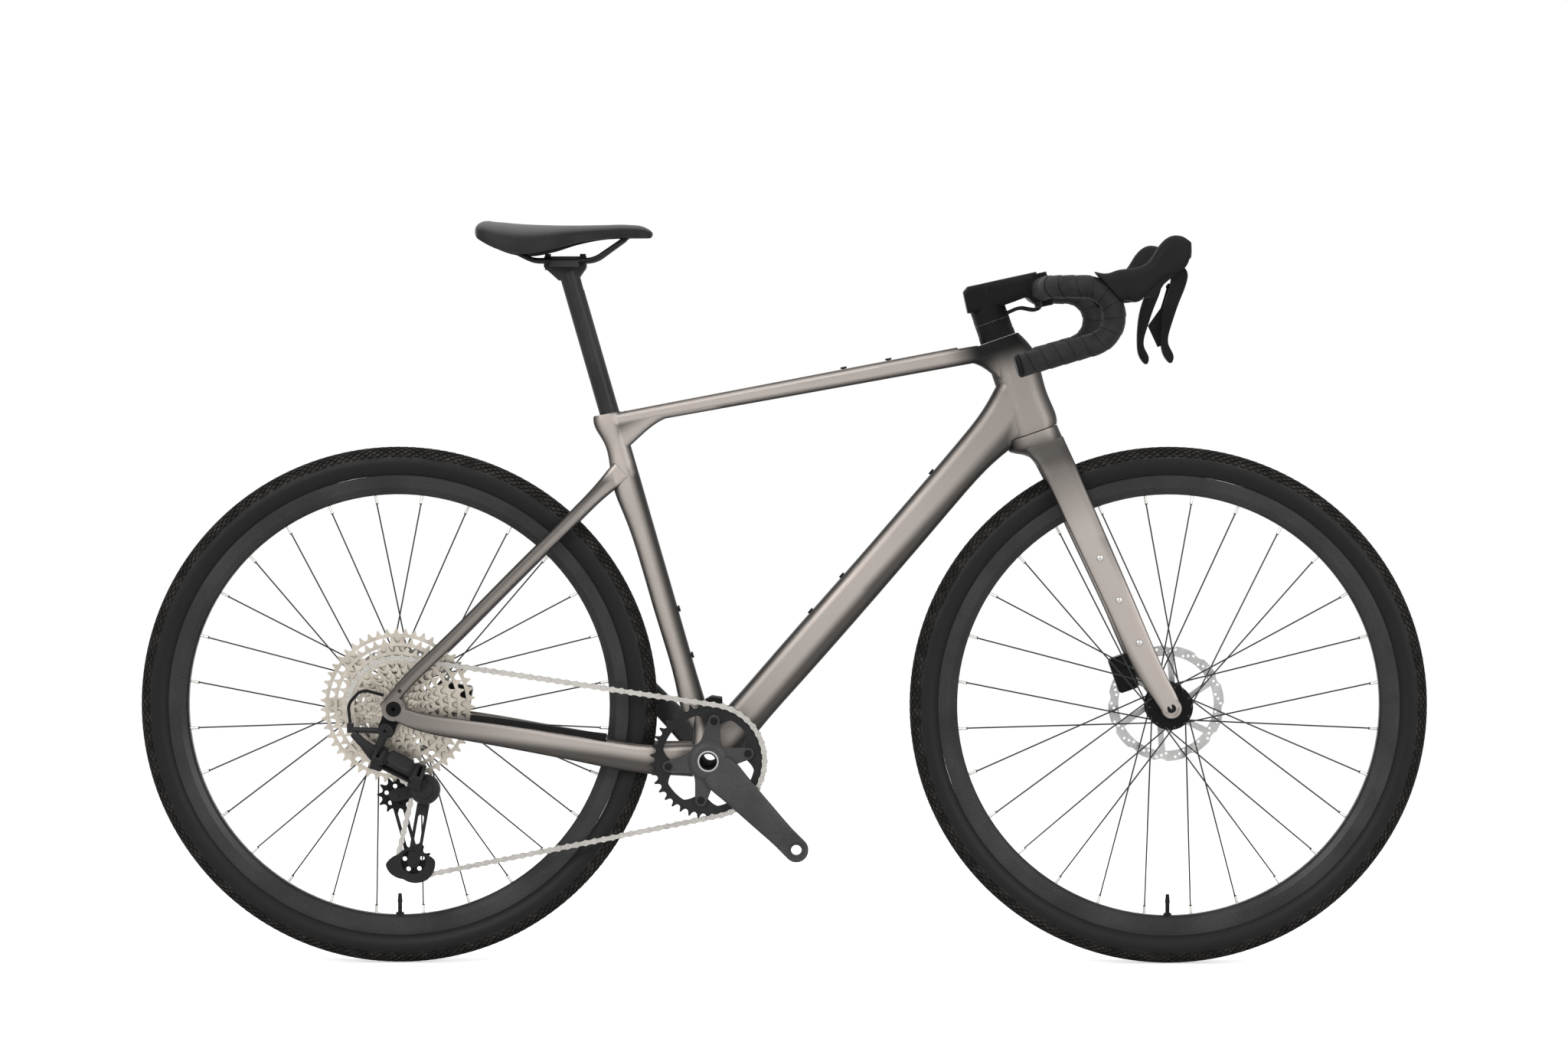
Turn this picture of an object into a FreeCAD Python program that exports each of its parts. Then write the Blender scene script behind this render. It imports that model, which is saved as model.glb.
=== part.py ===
import FreeCAD, Part
import math
import os

import Sketcher

# A gravel bike without pedals. Millimetres; X forward, Y to the rider's left, Z up.
# The origin lies on the ground midway between the two axles.

Vector = FreeCAD.Vector
X_AXIS = Vector(1, 0, 0)
Y_AXIS = Vector(0, 1, 0)
Z_AXIS = Vector(0, 0, 1)

SIZES = [
    ("wheelbase", 1058, "rear axle to front axle"),
    ("tyre_radius", 355.5, "axle to the ground"),
    ("tyre_width", 45, "widest part of the casing"),
    ("tyre_wall", 2.6, "casing and tread thickness"),
    ("rim_bead_radius", 311, "bead seat of the rim"),
    ("rim_flange", 5.5, "height of the rim hook above the bead seat"),
    ("rim_depth", 26.5, "radial height of the rim"),
    ("rim_width", 29, "outer width of the rim"),
    ("rim_wall", 2, "wall of the hollow rim"),
    ("spoke_count", 28, "spokes in one wheel"),
    ("spoke_radius", 1, "radius of a spoke"),
    ("spoke_circle", 28, "radius of the spoke holes in a hub flange"),
    ("flange_thickness", 3.2, "hub flange"),
    ("front_left_flange", 20, "sideways place of the front hub flange by the rotor"),
    ("front_right_flange", 33, "sideways place of the other front hub flange"),
    ("rear_left_flange", 33, "sideways place of the rear hub flange by the rotor"),
    ("rear_right_flange", 17, "sideways place of the rear hub flange by the cassette"),
    ("hub_core", 15.5, "radius of the hub barrel"),
    ("axle_radius", 6, "through axle"),
    ("front_span", 100, "between the fork tips"),
    ("rear_span", 142, "between the rear dropouts"),
    ("rotor_radius", 80, "brake rotor"),
    ("rotor_thickness", 1.8, "brake rotor"),
    ("front_rotor_plane", 34.7, "sideways place of the front rotor"),
    ("rear_rotor_plane", 55.7, "sideways place of the rear rotor"),
    ("bottom_bracket_drop", 72.5, "crank axle below the wheel axles"),
    ("chainstay_run", 427, "level distance from rear axle to crank axle"),
    ("shell_width", 86.5, "bottom bracket shell"),
    ("shell_radius", 26, "bottom bracket shell"),
    ("shell_bore", 20.5, "bore of the bottom bracket shell"),
    ("seat_tilt", 16.1, "seat tube from upright, degrees"),
    ("seat_tube_length", 491, "crank axle to the top of the seat tube"),
    ("head_tilt", 19.25, "steering axis from upright, degrees"),
    ("head_tube_length", 136, "along the steering axis"),
    ("axle_to_crown", 416, "fork length along the steering axis"),
    ("fork_offset", 55.5, "front axle ahead of the steering axis"),
    ("crown_radius", 36, "round fork crown that turns in the frame"),
    ("steerer_radius", 14.3, "fork steerer"),
    ("steerer_foot", 20, "fork steerer at the lower bearing"),
    ("post_radius", 13.6, "seatpost"),
    ("post_insert", 150, "seatpost inside the seat tube"),
    ("post_room", 70, "free bore below the seatpost"),
    ("saddle_height", 1015, "top of the saddle above the ground"),
    ("saddle_length", 243, "nose to tail"),
    ("saddle_width", 145, "widest part of the saddle"),
    ("rail_radius", 3.5, "saddle rail"),
    ("rail_spread", 22, "sideways place of a saddle rail"),
    ("spacer_radius", 24.5, "headset spacers"),
    ("head_bond", 130, "bond of the head section, ahead of the middle"),
    ("seat_bond", 26, "bond of the main tubes, ahead of the seat tube's line"),
    ("stay_bond", 30, "bond of the stays, behind the seat tube's line"),
    ("dropout_bond", 50, "bond of the dropouts, ahead of the rear axle"),
    ("spacer_height", 8.4, "one headset spacer"),
    ("stem_length", 78, "steering axis to bar centre"),
    ("stem_fall", 7, "stem below square to the steering axis, degrees"),
    ("stem_height", 40, "stem clamp along the steerer"),
    ("bar_half_width", 212, "sideways place of a brake hood"),
    ("bar_radius", 11.9, "handlebar at the grips"),
    ("bar_clamp_radius", 15.9, "handlebar in the stem"),
    ("bar_reach", 86, "bar centre to the front of the hook"),
    ("hook_radius", 40, "bend of the drop"),
    ("bar_flare", 12, "drops leaning out, degrees"),
    ("drop_length", 100, "straight lower grip"),
    ("tape_radius", 15.7, "handlebar tape"),
    ("crank_length", 170, "crank axle to pedal thread"),
    ("crank_angle", 45, "right crank below level, degrees"),
    ("pedal_thread_radius", 7.14, "empty pedal thread"),
    ("spindle_radius", 12, "crank spindle"),
    ("chainring_teeth", 38, "chainring"),
    ("chain_line", 49.7, "sideways place of the chainring"),
    ("bolt_circle", 55, "radius of the chainring bolts"),
    ("first_cog_plane", 62.5, "sideways place of the smallest cog"),
    ("cog_pitch", 3.6, "from one cog to the next"),
    ("cog_thickness", 1.6, "one cog"),
    ("pulley_teeth", 11, "derailleur pulleys"),
    ("cage_length", 94, "between the two pulleys"),
    ("chain_pitch", 12.7, "pin to pin"),
    ("link_length", 50, "derailleur link, pivot to pivot"),
    ("running_gap", 0.05, "radial gap of a turning fit"),
    ("joint_gap", 0.3, "gap between parts that move on each other"),
]

COGS = (10, 12, 14, 16, 18, 21, 24, 28, 33, 39, 45, 51)
COG_IN_USE = 33

doc = FreeCAD.newDocument("GravelBike")
sheet = doc.addObject("Spreadsheet::Sheet", "Sizes")
for row, (alias, value, note) in enumerate(SIZES, start=1):
    sheet.set("A%d" % row, note)
    sheet.set("B%d" % row, str(value))
    sheet.setAlias("B%d" % row, alias)
doc.recompute()


class Rule:
    """A length that carries both its value and the sheet expression it comes from."""

    def __init__(self, value, text):
        self.value = float(value)
        self.text = text

    @staticmethod
    def of(item):
        if isinstance(item, Rule):
            return item
        return Rule(item, "(%.6f)" % item)

    def __add__(self, other):
        other = Rule.of(other)
        return Rule(self.value + other.value, "(%s + %s)" % (self.text, other.text))

    def __radd__(self, other):
        return Rule.of(other) + self

    def __sub__(self, other):
        other = Rule.of(other)
        return Rule(self.value - other.value, "(%s - %s)" % (self.text, other.text))

    def __rsub__(self, other):
        return Rule.of(other) - self

    def __mul__(self, other):
        other = Rule.of(other)
        return Rule(self.value * other.value, "(%s * %s)" % (self.text, other.text))

    def __rmul__(self, other):
        return Rule.of(other) * self

    def __truediv__(self, other):
        other = Rule.of(other)
        return Rule(self.value / other.value, "(%s / %s)" % (self.text, other.text))

    def __neg__(self):
        return Rule.of(0.0) - self


class Rules:
    """Sheet cells as rules, for features that are bound to the sheet."""

    def __getattr__(self, name):
        return Rule(sheet.get(name), "Sizes." + name)


class Numbers:
    """Sheet cells as plain numbers, for shapes worked out from them."""

    def __getattr__(self, name):
        return float(sheet.get(name))


R = Rules()
N = Numbers()
nodes = []


def bind(obj, prop, rule):
    """Set a size of a document object and tie it to the sheet."""
    obj.setExpression(prop, Rule.of(rule).text)


def keep(name, shape):
    """Add a finished shape to the document as one node."""
    obj = doc.addObject("Part::Feature", name)
    obj.Label = name
    obj.Shape = shape
    nodes.append(obj)
    return obj


def keep_object(obj, name):
    """List an existing document object as one node."""
    obj.Label = name
    nodes.append(obj)
    return obj


def turn(direction, degrees, axis):
    """A vector turned about an axis."""
    return FreeCAD.Rotation(axis, degrees).multVec(direction)


def unit(vector):
    result = Vector(vector)
    result.normalize()
    return result


def flat(point, side):
    """The same point with another sideways place."""
    return Vector(point.x, side, point.z)


def mirrored(shape):
    """The shape on the other side of the bike."""
    return shape.mirror(Vector(0, 0, 0), Y_AXIS)


def rod(start, end, radius):
    span = end - start
    return Part.makeCylinder(radius, span.Length, start, span)


def disc(centre, radius, low, high):
    """A cylinder along Y from one sideways place to another."""
    return Part.makeCylinder(radius, high - low, flat(centre, low), Y_AXIS)


def ring(centre, inner, outer, low, high):
    """A ring about Y."""
    return disc(centre, outer, low, high).cut(disc(centre, inner, low - 1, high + 1))


def collar(start, axis, inner, outer, length):
    """A ring about any axis."""
    body = Part.makeCylinder(outer, length, start, axis)
    return body.cut(Part.makeCylinder(inner, length + 2, start - axis, axis))


def hexagon(centre, across, low, high):
    """A hexagonal bar along Y."""
    corners = []
    for step in range(7):
        angle = math.radians(60 * step)
        offset = Vector(math.cos(angle), 0, math.sin(angle)) * (across / math.sqrt(3))
        corners.append(flat(centre + offset, low))
    return Part.Face(Part.makePolygon(corners)).extrude(Vector(0, high - low, 0))


def section(centre, side, up, width, height, corner):
    """A rounded rectangle as a closed wire."""
    corner = min(corner, 0.46 * width, 0.46 * height)
    half_w = width / 2
    half_h = height / 2
    bevel = corner * (1 - math.sqrt(0.5))

    def at(u, v):
        return centre + side * u + up * v

    edges = []
    for sign_u, sign_v in ((1, 1), (-1, 1), (-1, -1), (1, -1)):
        near = at(sign_u * half_w, sign_v * (half_h - corner))
        middle = at(sign_u * (half_w - bevel), sign_v * (half_h - bevel))
        far = at(sign_u * (half_w - corner), sign_v * half_h)
        if sign_u * sign_v < 0:
            near, far = far, near
        edges.append((near, middle, far))
    wire = []
    for index, (near, middle, far) in enumerate(edges):
        wire.append(Part.Arc(near, middle, far).toShape())
        wire.append(Part.makeLine(far, edges[(index + 1) % 4][0]))
    return Part.Wire(wire)


def loft(wires, ruled=False):
    return Part.makeLoft(wires, True, ruled)


def plane_tube(start, end, stations, corner):
    """A tube in the middle plane; stations are fraction, upper, lower offset and width."""
    span = end - start
    along = unit(span)
    up = Vector(-along.z, 0, along.x)
    wires = []
    for fraction, upper, lower, width in stations:
        centre = start + span * fraction + up * ((upper + lower) / 2)
        wires.append(section(centre, Y_AXIS, up, width, upper - lower, corner))
    return loft(wires)


def side_tube(start, end, stations, corner):
    """A tube beside the middle plane; stations are fraction, offset, side, height, width."""
    span = end - start
    along = unit(span)
    up = Vector(-along.z, 0, along.x)
    centres = []
    for fraction, offset, side, height, width in stations:
        centres.append(flat(start + span * fraction + up * offset, side))
    wires = []
    for index, (fraction, offset, side, height, width) in enumerate(stations):
        before = centres[max(index - 1, 0)]
        after = centres[min(index + 1, len(centres) - 1)]
        ahead = unit(after - before)
        lift = unit(up - ahead * up.dot(ahead))
        wires.append(section(centres[index], ahead.cross(lift), lift, width, height, corner))
    return loft(wires)


def path(points, radii):
    """Straight runs joined by tangent arcs at the inner points."""
    edges = []
    here = points[0]
    for index in range(1, len(points) - 1):
        corner = points[index]
        back = unit(points[index - 1] - corner)
        fore = unit(points[index + 1] - corner)
        half = back.getAngle(fore) / 2
        reach = radii[index - 1] / math.tan(half)
        begin = corner + back * reach
        finish = corner + fore * reach
        bisector = unit(back + fore)
        gap = radii[index - 1] / math.sin(half) - radii[index - 1]
        if (begin - here).Length > 1e-3:
            edges.append(Part.makeLine(here, begin))
        edges.append(Part.Arc(begin, corner + bisector * gap, finish).toShape())
        here = finish
    if (points[-1] - here).Length > 1e-3:
        edges.append(Part.makeLine(here, points[-1]))
    return Part.Wire(edges)


def pipe(wire, radius):
    """A round bar along a path."""
    first = wire.Edges[0]
    start = first.valueAt(first.FirstParameter)
    heading = first.tangentAt(first.FirstParameter)
    profile = Part.Wire([Part.makeCircle(radius, start, heading)])
    return wire.makePipeShell([profile], True, False)


def outline(points, low, high):
    """A flat plate across Y with straight sides."""
    corners = [Vector(x, low, z) for x, z in points]
    corners.append(corners[0])
    return Part.Face(Part.makePolygon(corners)).extrude(Vector(0, high - low, 0))


def smooth_outline(points, low, high):
    """A flat plate across Y with a flowing edge."""
    curve = Part.BSplineCurve()
    curve.interpolate([Vector(x, low, z) for x, z in points], PeriodicFlag=True)
    return Part.Face(Part.Wire([curve.toShape()])).extrude(Vector(0, high - low, 0))


def capsule(first, second, radius, low, high):
    """A plate across Y with round ends about two points."""
    along = unit(second - first)
    side = Vector(-along.z, 0, along.x) * radius
    a = flat(first + side, low)
    b = flat(first - along * radius, low)
    c = flat(first - side, low)
    d = flat(second - side, low)
    e = flat(second + along * radius, low)
    f = flat(second + side, low)
    edges = [Part.Arc(a, b, c).toShape(), Part.makeLine(c, d)]
    edges += [Part.Arc(d, e, f).toShape(), Part.makeLine(f, a)]
    return Part.Face(Part.Wire(edges)).extrude(Vector(0, high - low, 0))


def box_along(centre, first, second, size_first, size_second, low, high):
    """A block across Y whose other two directions are given."""
    a = first * (size_first / 2)
    b = second * (size_second / 2)
    corners = [centre - a - b, centre + a - b, centre + a + b, centre - a + b]
    return outline([(c.x, c.z) for c in corners], low, high)


class BodyMaker:
    """A PartDesign body whose sketches are bound to the sheet."""

    def __init__(self, name, base=None):
        self.body = doc.addObject("PartDesign::Body", name)
        self.body.Label = name
        self.name = name
        self.count = 0
        if base is not None:
            self.body.Placement = FreeCAD.Placement(base, FreeCAD.Rotation())

    def part(self, role):
        for feature in self.body.Origin.OriginFeatures:
            if feature.Role == role:
                return feature
        return None

    def feature(self, kind):
        self.count += 1
        return self.body.newObject(kind, "%s_%d" % (self.name, self.count))

    def sketch(self, role="XY_Plane"):
        drawing = self.feature("Sketcher::SketchObject")
        drawing.AttachmentSupport = [(self.part(role), "")]
        drawing.MapMode = "FlatFace"
        return drawing

    def loop(self, drawing, corners):
        """A closed run of lines whose corners follow rules."""
        corners = [(Rule.of(x), Rule.of(y)) for x, y in corners]
        first = drawing.GeometryCount
        count = len(corners)
        for index in range(count):
            x0, y0 = corners[index]
            x1, y1 = corners[(index + 1) % count]
            line = Part.LineSegment(Vector(x0.value, y0.value, 0), Vector(x1.value, y1.value, 0))
            drawing.addGeometry(line)
        for index in range(count):
            after = first + (index + 1) % count
            drawing.addConstraint(Sketcher.Constraint("Coincident", first + index, 2, after, 1))
        for index, (x, y) in enumerate(corners):
            for kind, rule in (("DistanceX", x), ("DistanceY", y)):
                limit = Sketcher.Constraint(kind, -1, 1, first + index, 1, rule.value)
                number = drawing.addConstraint(limit)
                drawing.setExpression("Constraints[%d]" % number, rule.text)

    def circle(self, drawing, x, y, radius):
        """A circle whose centre and radius follow rules."""
        x, y, radius = Rule.of(x), Rule.of(y), Rule.of(radius)
        shape = Part.Circle(Vector(x.value, y.value, 0), Z_AXIS, radius.value)
        index = drawing.addGeometry(shape)
        limits = [
            (Sketcher.Constraint("DistanceX", -1, 1, index, 3, x.value), x),
            (Sketcher.Constraint("DistanceY", -1, 1, index, 3, y.value), y),
            (Sketcher.Constraint("Radius", index, radius.value), radius),
        ]
        for limit, rule in limits:
            number = drawing.addConstraint(limit)
            drawing.setExpression("Constraints[%d]" % number, rule.text)

    def revolve(self, drawing):
        """Turn a profile about the body's Y axis."""
        spin = self.feature("PartDesign::Revolution")
        spin.Profile = drawing
        spin.ReferenceAxis = (drawing, ["V_Axis"])
        spin.Angle = 360
        return spin

    def pad(self, drawing, length):
        """A plate of the drawing, half to each side."""
        plate = self.feature("PartDesign::Pad")
        plate.Profile = drawing
        plate.SideType = "Symmetric"
        bind(plate, "Length", length)
        return plate

    def drill(self, drawing, both=True, reverse=False):
        """A cut right through, to both sides or to one."""
        cut = self.feature("PartDesign::Pocket")
        cut.Profile = drawing
        cut.Type = "ThroughAll"
        cut.SideType = "Symmetric" if both else "One side"
        cut.Reversed = reverse
        return cut

    def around(self, feature, count):
        """Repeat a feature about the body's Y axis."""
        pattern = self.feature("PartDesign::PolarPattern")
        pattern.Originals = [feature]
        pattern.Axis = (self.part("Y_Axis"), [""])
        pattern.Angle = 360
        self.body.Tip = pattern
        bind(pattern, "Occurrences", count)
        return pattern


# Main points of the bike
rear = Vector(-N.wheelbase / 2, 0, N.tyre_radius)
front = Vector(N.wheelbase / 2, 0, N.tyre_radius)
crank = Vector(rear.x + N.chainstay_run, 0, N.tyre_radius - N.bottom_bracket_drop)
seat_up = turn(Z_AXIS, -N.seat_tilt, Y_AXIS)
seat_top = crank + seat_up * N.seat_tube_length
steer_up = turn(Z_AXIS, -N.head_tilt, Y_AXIS)
steer_fore = turn(X_AXIS, -N.head_tilt, Y_AXIS)
crown = front + steer_up * N.axle_to_crown - steer_fore * N.fork_offset
head_top = crown + steer_up * N.head_tube_length
gap = N.joint_gap
slack = N.running_gap


def make_rim(name, axle):
    """A hollow rim with a bead seat between two hooks."""
    maker = BodyMaker(name, axle)
    inner = R.rim_bead_radius + R.rim_flange - R.rim_depth
    outer = R.rim_bead_radius + R.rim_flange
    half = R.rim_width / 2
    side = [
        (inner, R.rim_width * 0.17),
        (inner + 3, R.rim_width * 0.30),
        (inner + 10, half - 1.2),
        (outer - 5, half),
        (outer, half),
        (outer, half - 2.3),
        (R.rim_bead_radius, half - 2.3),
        (R.rim_bead_radius - 0.8, half - 6.5),
        (R.rim_bead_radius - 5, half - 9.5),
    ]
    shell = side + [(x, -y) for x, y in reversed(side)]
    hollow = [
        (inner + R.rim_wall, R.rim_width * 0.14),
        (inner + 10, half - 1.2 - R.rim_wall * 1.2),
        (R.rim_bead_radius - 3.5, half - 3.2),
        (R.rim_bead_radius - 7.2, half - 9.0),
    ]
    hollow += [(x, -y) for x, y in reversed(hollow)]
    drawing = maker.sketch()
    maker.loop(drawing, shell)
    maker.loop(drawing, hollow)
    maker.revolve(drawing)
    keep_object(maker.body, name)


def make_tyre(name, axle):
    """A hollow tyre casing whose beads sit inside the rim hooks."""
    centre = N.tyre_radius - N.tyre_width / 2
    casing = N.tyre_width / 2
    cavity = casing - N.tyre_wall
    bead = N.rim_bead_radius + 0.2
    hook = N.rim_bead_radius + N.rim_flange + 0.5
    outside = N.rim_width / 2 - 2.5
    inside = outside - 2.6
    over_hook = math.sqrt(casing ** 2 - (centre - hook) ** 2)
    mouth = centre - math.sqrt(cavity ** 2 - inside ** 2)

    def at(radius, side):
        return Vector(radius, side, 0)

    def run(*points):
        return [Part.makeLine(a, b) for a, b in zip(points, points[1:])]

    edges = run(at(bead, outside), at(hook, outside), at(hook, over_hook))
    tread = at(centre + casing, 0)
    edges.append(Part.Arc(at(hook, over_hook), tread, at(hook, -over_hook)).toShape())
    edges += run(at(hook, -over_hook), at(hook, -outside), at(bead, -outside),
                 at(bead, -inside), at(mouth, -inside))
    crest = at(centre + cavity, 0)
    edges.append(Part.Arc(at(mouth, -inside), crest, at(mouth, inside)).toShape())
    edges += run(at(mouth, inside), at(bead, inside), at(bead, outside))
    shape = Part.Face(Part.Wire(edges)).revolve(Vector(), Y_AXIS, 360)
    shape.translate(axle)
    keep(name, shape)


def make_spokes(name, axle, left_flange, right_flange):
    """Crossed spokes hooked through both hub flanges, each with a nipple at the rim."""
    per_side = int(N.spoke_count) // 2
    pitch = 360.0 / per_side
    rim_inside = N.rim_bead_radius + N.rim_flange - N.rim_depth
    half_flange = N.flange_thickness / 2
    solids = []

    def polar(radius, degrees, side):
        angle = math.radians(degrees)
        return Vector(radius * math.cos(angle), side, radius * math.sin(angle))

    for flange, shift in ((left_flange, -pitch / 4), (right_flange, pitch / 4)):
        outward = 1 if flange > 0 else -1
        for trailing in (True, False):
            lean = 2 * pitch if trailing else -2 * pitch
            start = 0.0 if trailing else pitch
            reach = half_flange + N.spoke_radius + (1.5 if trailing else 0.9)
            beside = flange + outward * reach * (1 if trailing else -1)
            beyond = flange - outward * (half_flange + 1.3) * (1 if trailing else -1)
            hub_end = polar(N.spoke_circle, start, beside)
            rim_at = start + lean + shift
            rim_end = polar(rim_inside - 5, rim_at, outward * 2.5)
            tip = polar(rim_inside - 0.3, rim_at, outward * 2.2)
            shank = rod(hub_end, rim_end, N.spoke_radius)
            elbow = rod(hub_end, flat(hub_end, beyond), N.spoke_radius)
            knee = Part.makeSphere(N.spoke_radius, hub_end)
            step = 0.9 if beyond > flange else -0.9
            head = rod(flat(hub_end, beyond), flat(hub_end, beyond + step), N.spoke_radius * 1.9)
            wire = shank.fuse([elbow, knee, head])
            nipple = rod(tip - unit(tip - hub_end) * 12, tip, N.spoke_radius * 1.9)
            nipple = nipple.cut(rod(hub_end, tip, N.spoke_radius + 0.02))
            for index in range(per_side // 2):
                for piece in (wire, nipple):
                    copy = piece.copy()
                    copy.rotate(Vector(), Y_AXIS, -2 * pitch * index)
                    copy.translate(axle)
                    solids.append(copy)
    keep(name, Part.makeCompound(solids))


def make_hub(name, axle, profile):
    """A turned hub shell with spoke holes through both flanges."""
    maker = BodyMaker(name, axle)
    drawing = maker.sketch()
    maker.loop(drawing, profile)
    maker.revolve(drawing)
    holes = maker.sketch("XZ_Plane")
    maker.circle(holes, R.spoke_circle, 0, R.spoke_radius + 0.2)
    maker.around(maker.drill(holes), R.spoke_count / 2)
    keep_object(maker.body, name)


def make_rotor(name, axle, plane):
    """A waved brake rotor with slanted arms."""
    maker = BodyMaker(name, flat(axle, plane))
    band = maker.sketch("XZ_Plane")
    maker.circle(band, 0, 0, R.rotor_radius)
    maker.circle(band, 0, 0, R.rotor_radius - 14)
    maker.pad(band, R.rotor_thickness)
    arm = maker.sketch("XZ_Plane")
    rim = R.rotor_radius - 12
    maker.loop(arm, [(18, 4), (19, -4), (rim * 0.90, 24), (rim * 0.86, 33)])
    maker.around(maker.pad(arm, R.rotor_thickness), 6)
    centre = maker.sketch("XZ_Plane")
    maker.circle(centre, 0, 0, 24)
    maker.circle(centre, 0, 0, 17.6)
    maker.pad(centre, R.rotor_thickness)
    vents = maker.sketch("XZ_Plane")
    for turn_by, inset in ((0.0, 4.6), (0.09, 7.6), (0.18, 10.6)):
        middle = R.rotor_radius - inset
        maker.circle(vents, middle * math.cos(turn_by), middle * math.sin(turn_by), 1.9)
    maker.around(maker.drill(vents), 18)
    waves = maker.sketch("XZ_Plane")
    angle = math.radians(25)
    away = R.rotor_radius + 11
    maker.circle(waves, away * math.cos(angle), away * math.sin(angle), 14)
    maker.around(maker.drill(waves), 12)
    keep_object(maker.body, name)


def make_valve(name, axle):
    """A valve stem with its nut and cap, at the bottom of the rim."""
    foot = N.rim_bead_radius + N.rim_flange - N.rim_depth
    start = axle - Z_AXIS * (foot - 0.2)
    nut = Part.makeCylinder(5.5, 3, start, Z_AXIS)
    stem = Part.makeCylinder(2.9, 18, start, Z_AXIS)
    cap = Part.makeCone(3.5, 2.4, 12, start + Z_AXIS * 17, Z_AXIS)
    keep(name, nut.fuse([stem, cap]))


def hub_profile(ends, flanges, shoulder, seat):
    """The half section of a hub: barrel, flanges, rotor seat and bearing seats."""
    right, left = ends
    right_flange, left_flange = flanges
    half = R.flange_thickness / 2
    lip = R.spoke_circle + 3.5
    core = R.hub_core
    return [
        (core - 6, right + 8), (core - 2.5, right + 8), (core - 2.5, right), (core + 0.5, right),
        (core + 0.5, right_flange - half), (lip, right_flange - half), (lip, right_flange + half),
        (core + 1, right_flange + half + 2), (core, right_flange + half + 10),
        (core, left_flange - half - 10), (core + 1, left_flange - half - 2),
        (lip, left_flange - half), (lip, left_flange + half), (20, left_flange + half),
        (20, shoulder), (seat, shoulder), (seat, left), (core - 2.5, left),
        (core - 2.5, left - 8), (core - 6, left - 8),
    ]


def make_wheels():
    """Both wheels, without axles and cassette."""
    bore = N.axle_radius + slack
    seat = N.hub_core - 2.5
    sets = [
        ("front", front, (-46, 46), (-R.front_right_flange, R.front_left_flange), R.front_rotor_plane,
         N.front_span / 2),
        ("rear", rear, (-20, 66), (-R.rear_right_flange, R.rear_left_flange), R.rear_rotor_plane,
         N.rear_span / 2),
    ]
    for end, axle, ends, flanges, plane, half_span in sets:
        make_tyre(end + "_tyre", axle)
        make_rim(end + "_rim", axle)
        make_spokes(end + "_spokes", axle, flanges[1].value, flanges[0].value)
        shoulder = plane - R.rotor_thickness / 2 - 0.05
        make_hub(end + "_hub", axle, hub_profile(ends, flanges, shoulder, 17.5))
        make_rotor(end + "_rotor", axle, plane.value)
        face = plane.value + N.rotor_thickness / 2 + 0.05
        rings = [
            ring(axle, bore, seat, ends[0], ends[0] + 8),
            ring(axle, bore, seat, ends[1] - 8, ends[1]),
            ring(axle, 17.6, 22.5, face, face + 3),
            ring(axle, bore, 11, ends[1] + 0.05, half_span - gap),
        ]
        if end == "front":
            rings.append(ring(axle, bore, 11, gap - half_span, ends[0] - 0.05))
        keep(end + "_hub_bearings", Part.makeCompound(rings))
        make_valve(end + "_valve", axle)


def make_axles():
    """Through axles, each a bolt with a hexagon socket."""
    radius = N.axle_radius
    head = 10.0
    for name, axle, start, end in (
        ("front_thru_axle", front, -N.front_span / 2 - 12, N.front_span / 2 + 13.5),
        ("rear_thru_axle", rear, N.rear_span / 2 + 8, -N.rear_span / 2 - 12.5),
    ):
        outward = 1 if end > 0 else -1
        shaft = doc.addObject("Part::Cylinder", name + "_shaft")
        bind(shaft, "Radius", R.axle_radius)
        shaft.Height = abs(end - start)
        shaft.Placement = FreeCAD.Placement(flat(axle, start), FreeCAD.Rotation(Z_AXIS, Y_AXIS * outward))
        cap = doc.addObject("Part::Cylinder", name + "_head")
        bind(cap, "Radius", R.axle_radius * (head / radius))
        cap.Height = 3.5
        cap.Placement = FreeCAD.Placement(
            flat(axle, end - outward * 3.5), FreeCAD.Rotation(Z_AXIS, Y_AXIS * outward))
        whole = doc.addObject("Part::Fuse", name + "_bolt")
        whole.Base = shaft
        whole.Tool = cap
        socket = doc.addObject("Part::Prism", name + "_socket")
        socket.Polygon = 6
        socket.Circumradius = 3.4
        socket.Height = 12
        socket.Placement = FreeCAD.Placement(
            flat(axle, end - outward * 8), FreeCAD.Rotation(Z_AXIS, Y_AXIS * outward))
        bolt = doc.addObject("Part::Cut", name)
        bolt.Base = whole
        bolt.Tool = socket
        keep_object(bolt, name)


def pitch_radius(teeth):
    return N.chain_pitch / (2 * math.sin(math.pi / teeth))


def cog_plane(teeth):
    """Sideways place of a cog of the cassette."""
    return N.cog_pitch * COGS.index(teeth) - N.first_cog_plane


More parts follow.
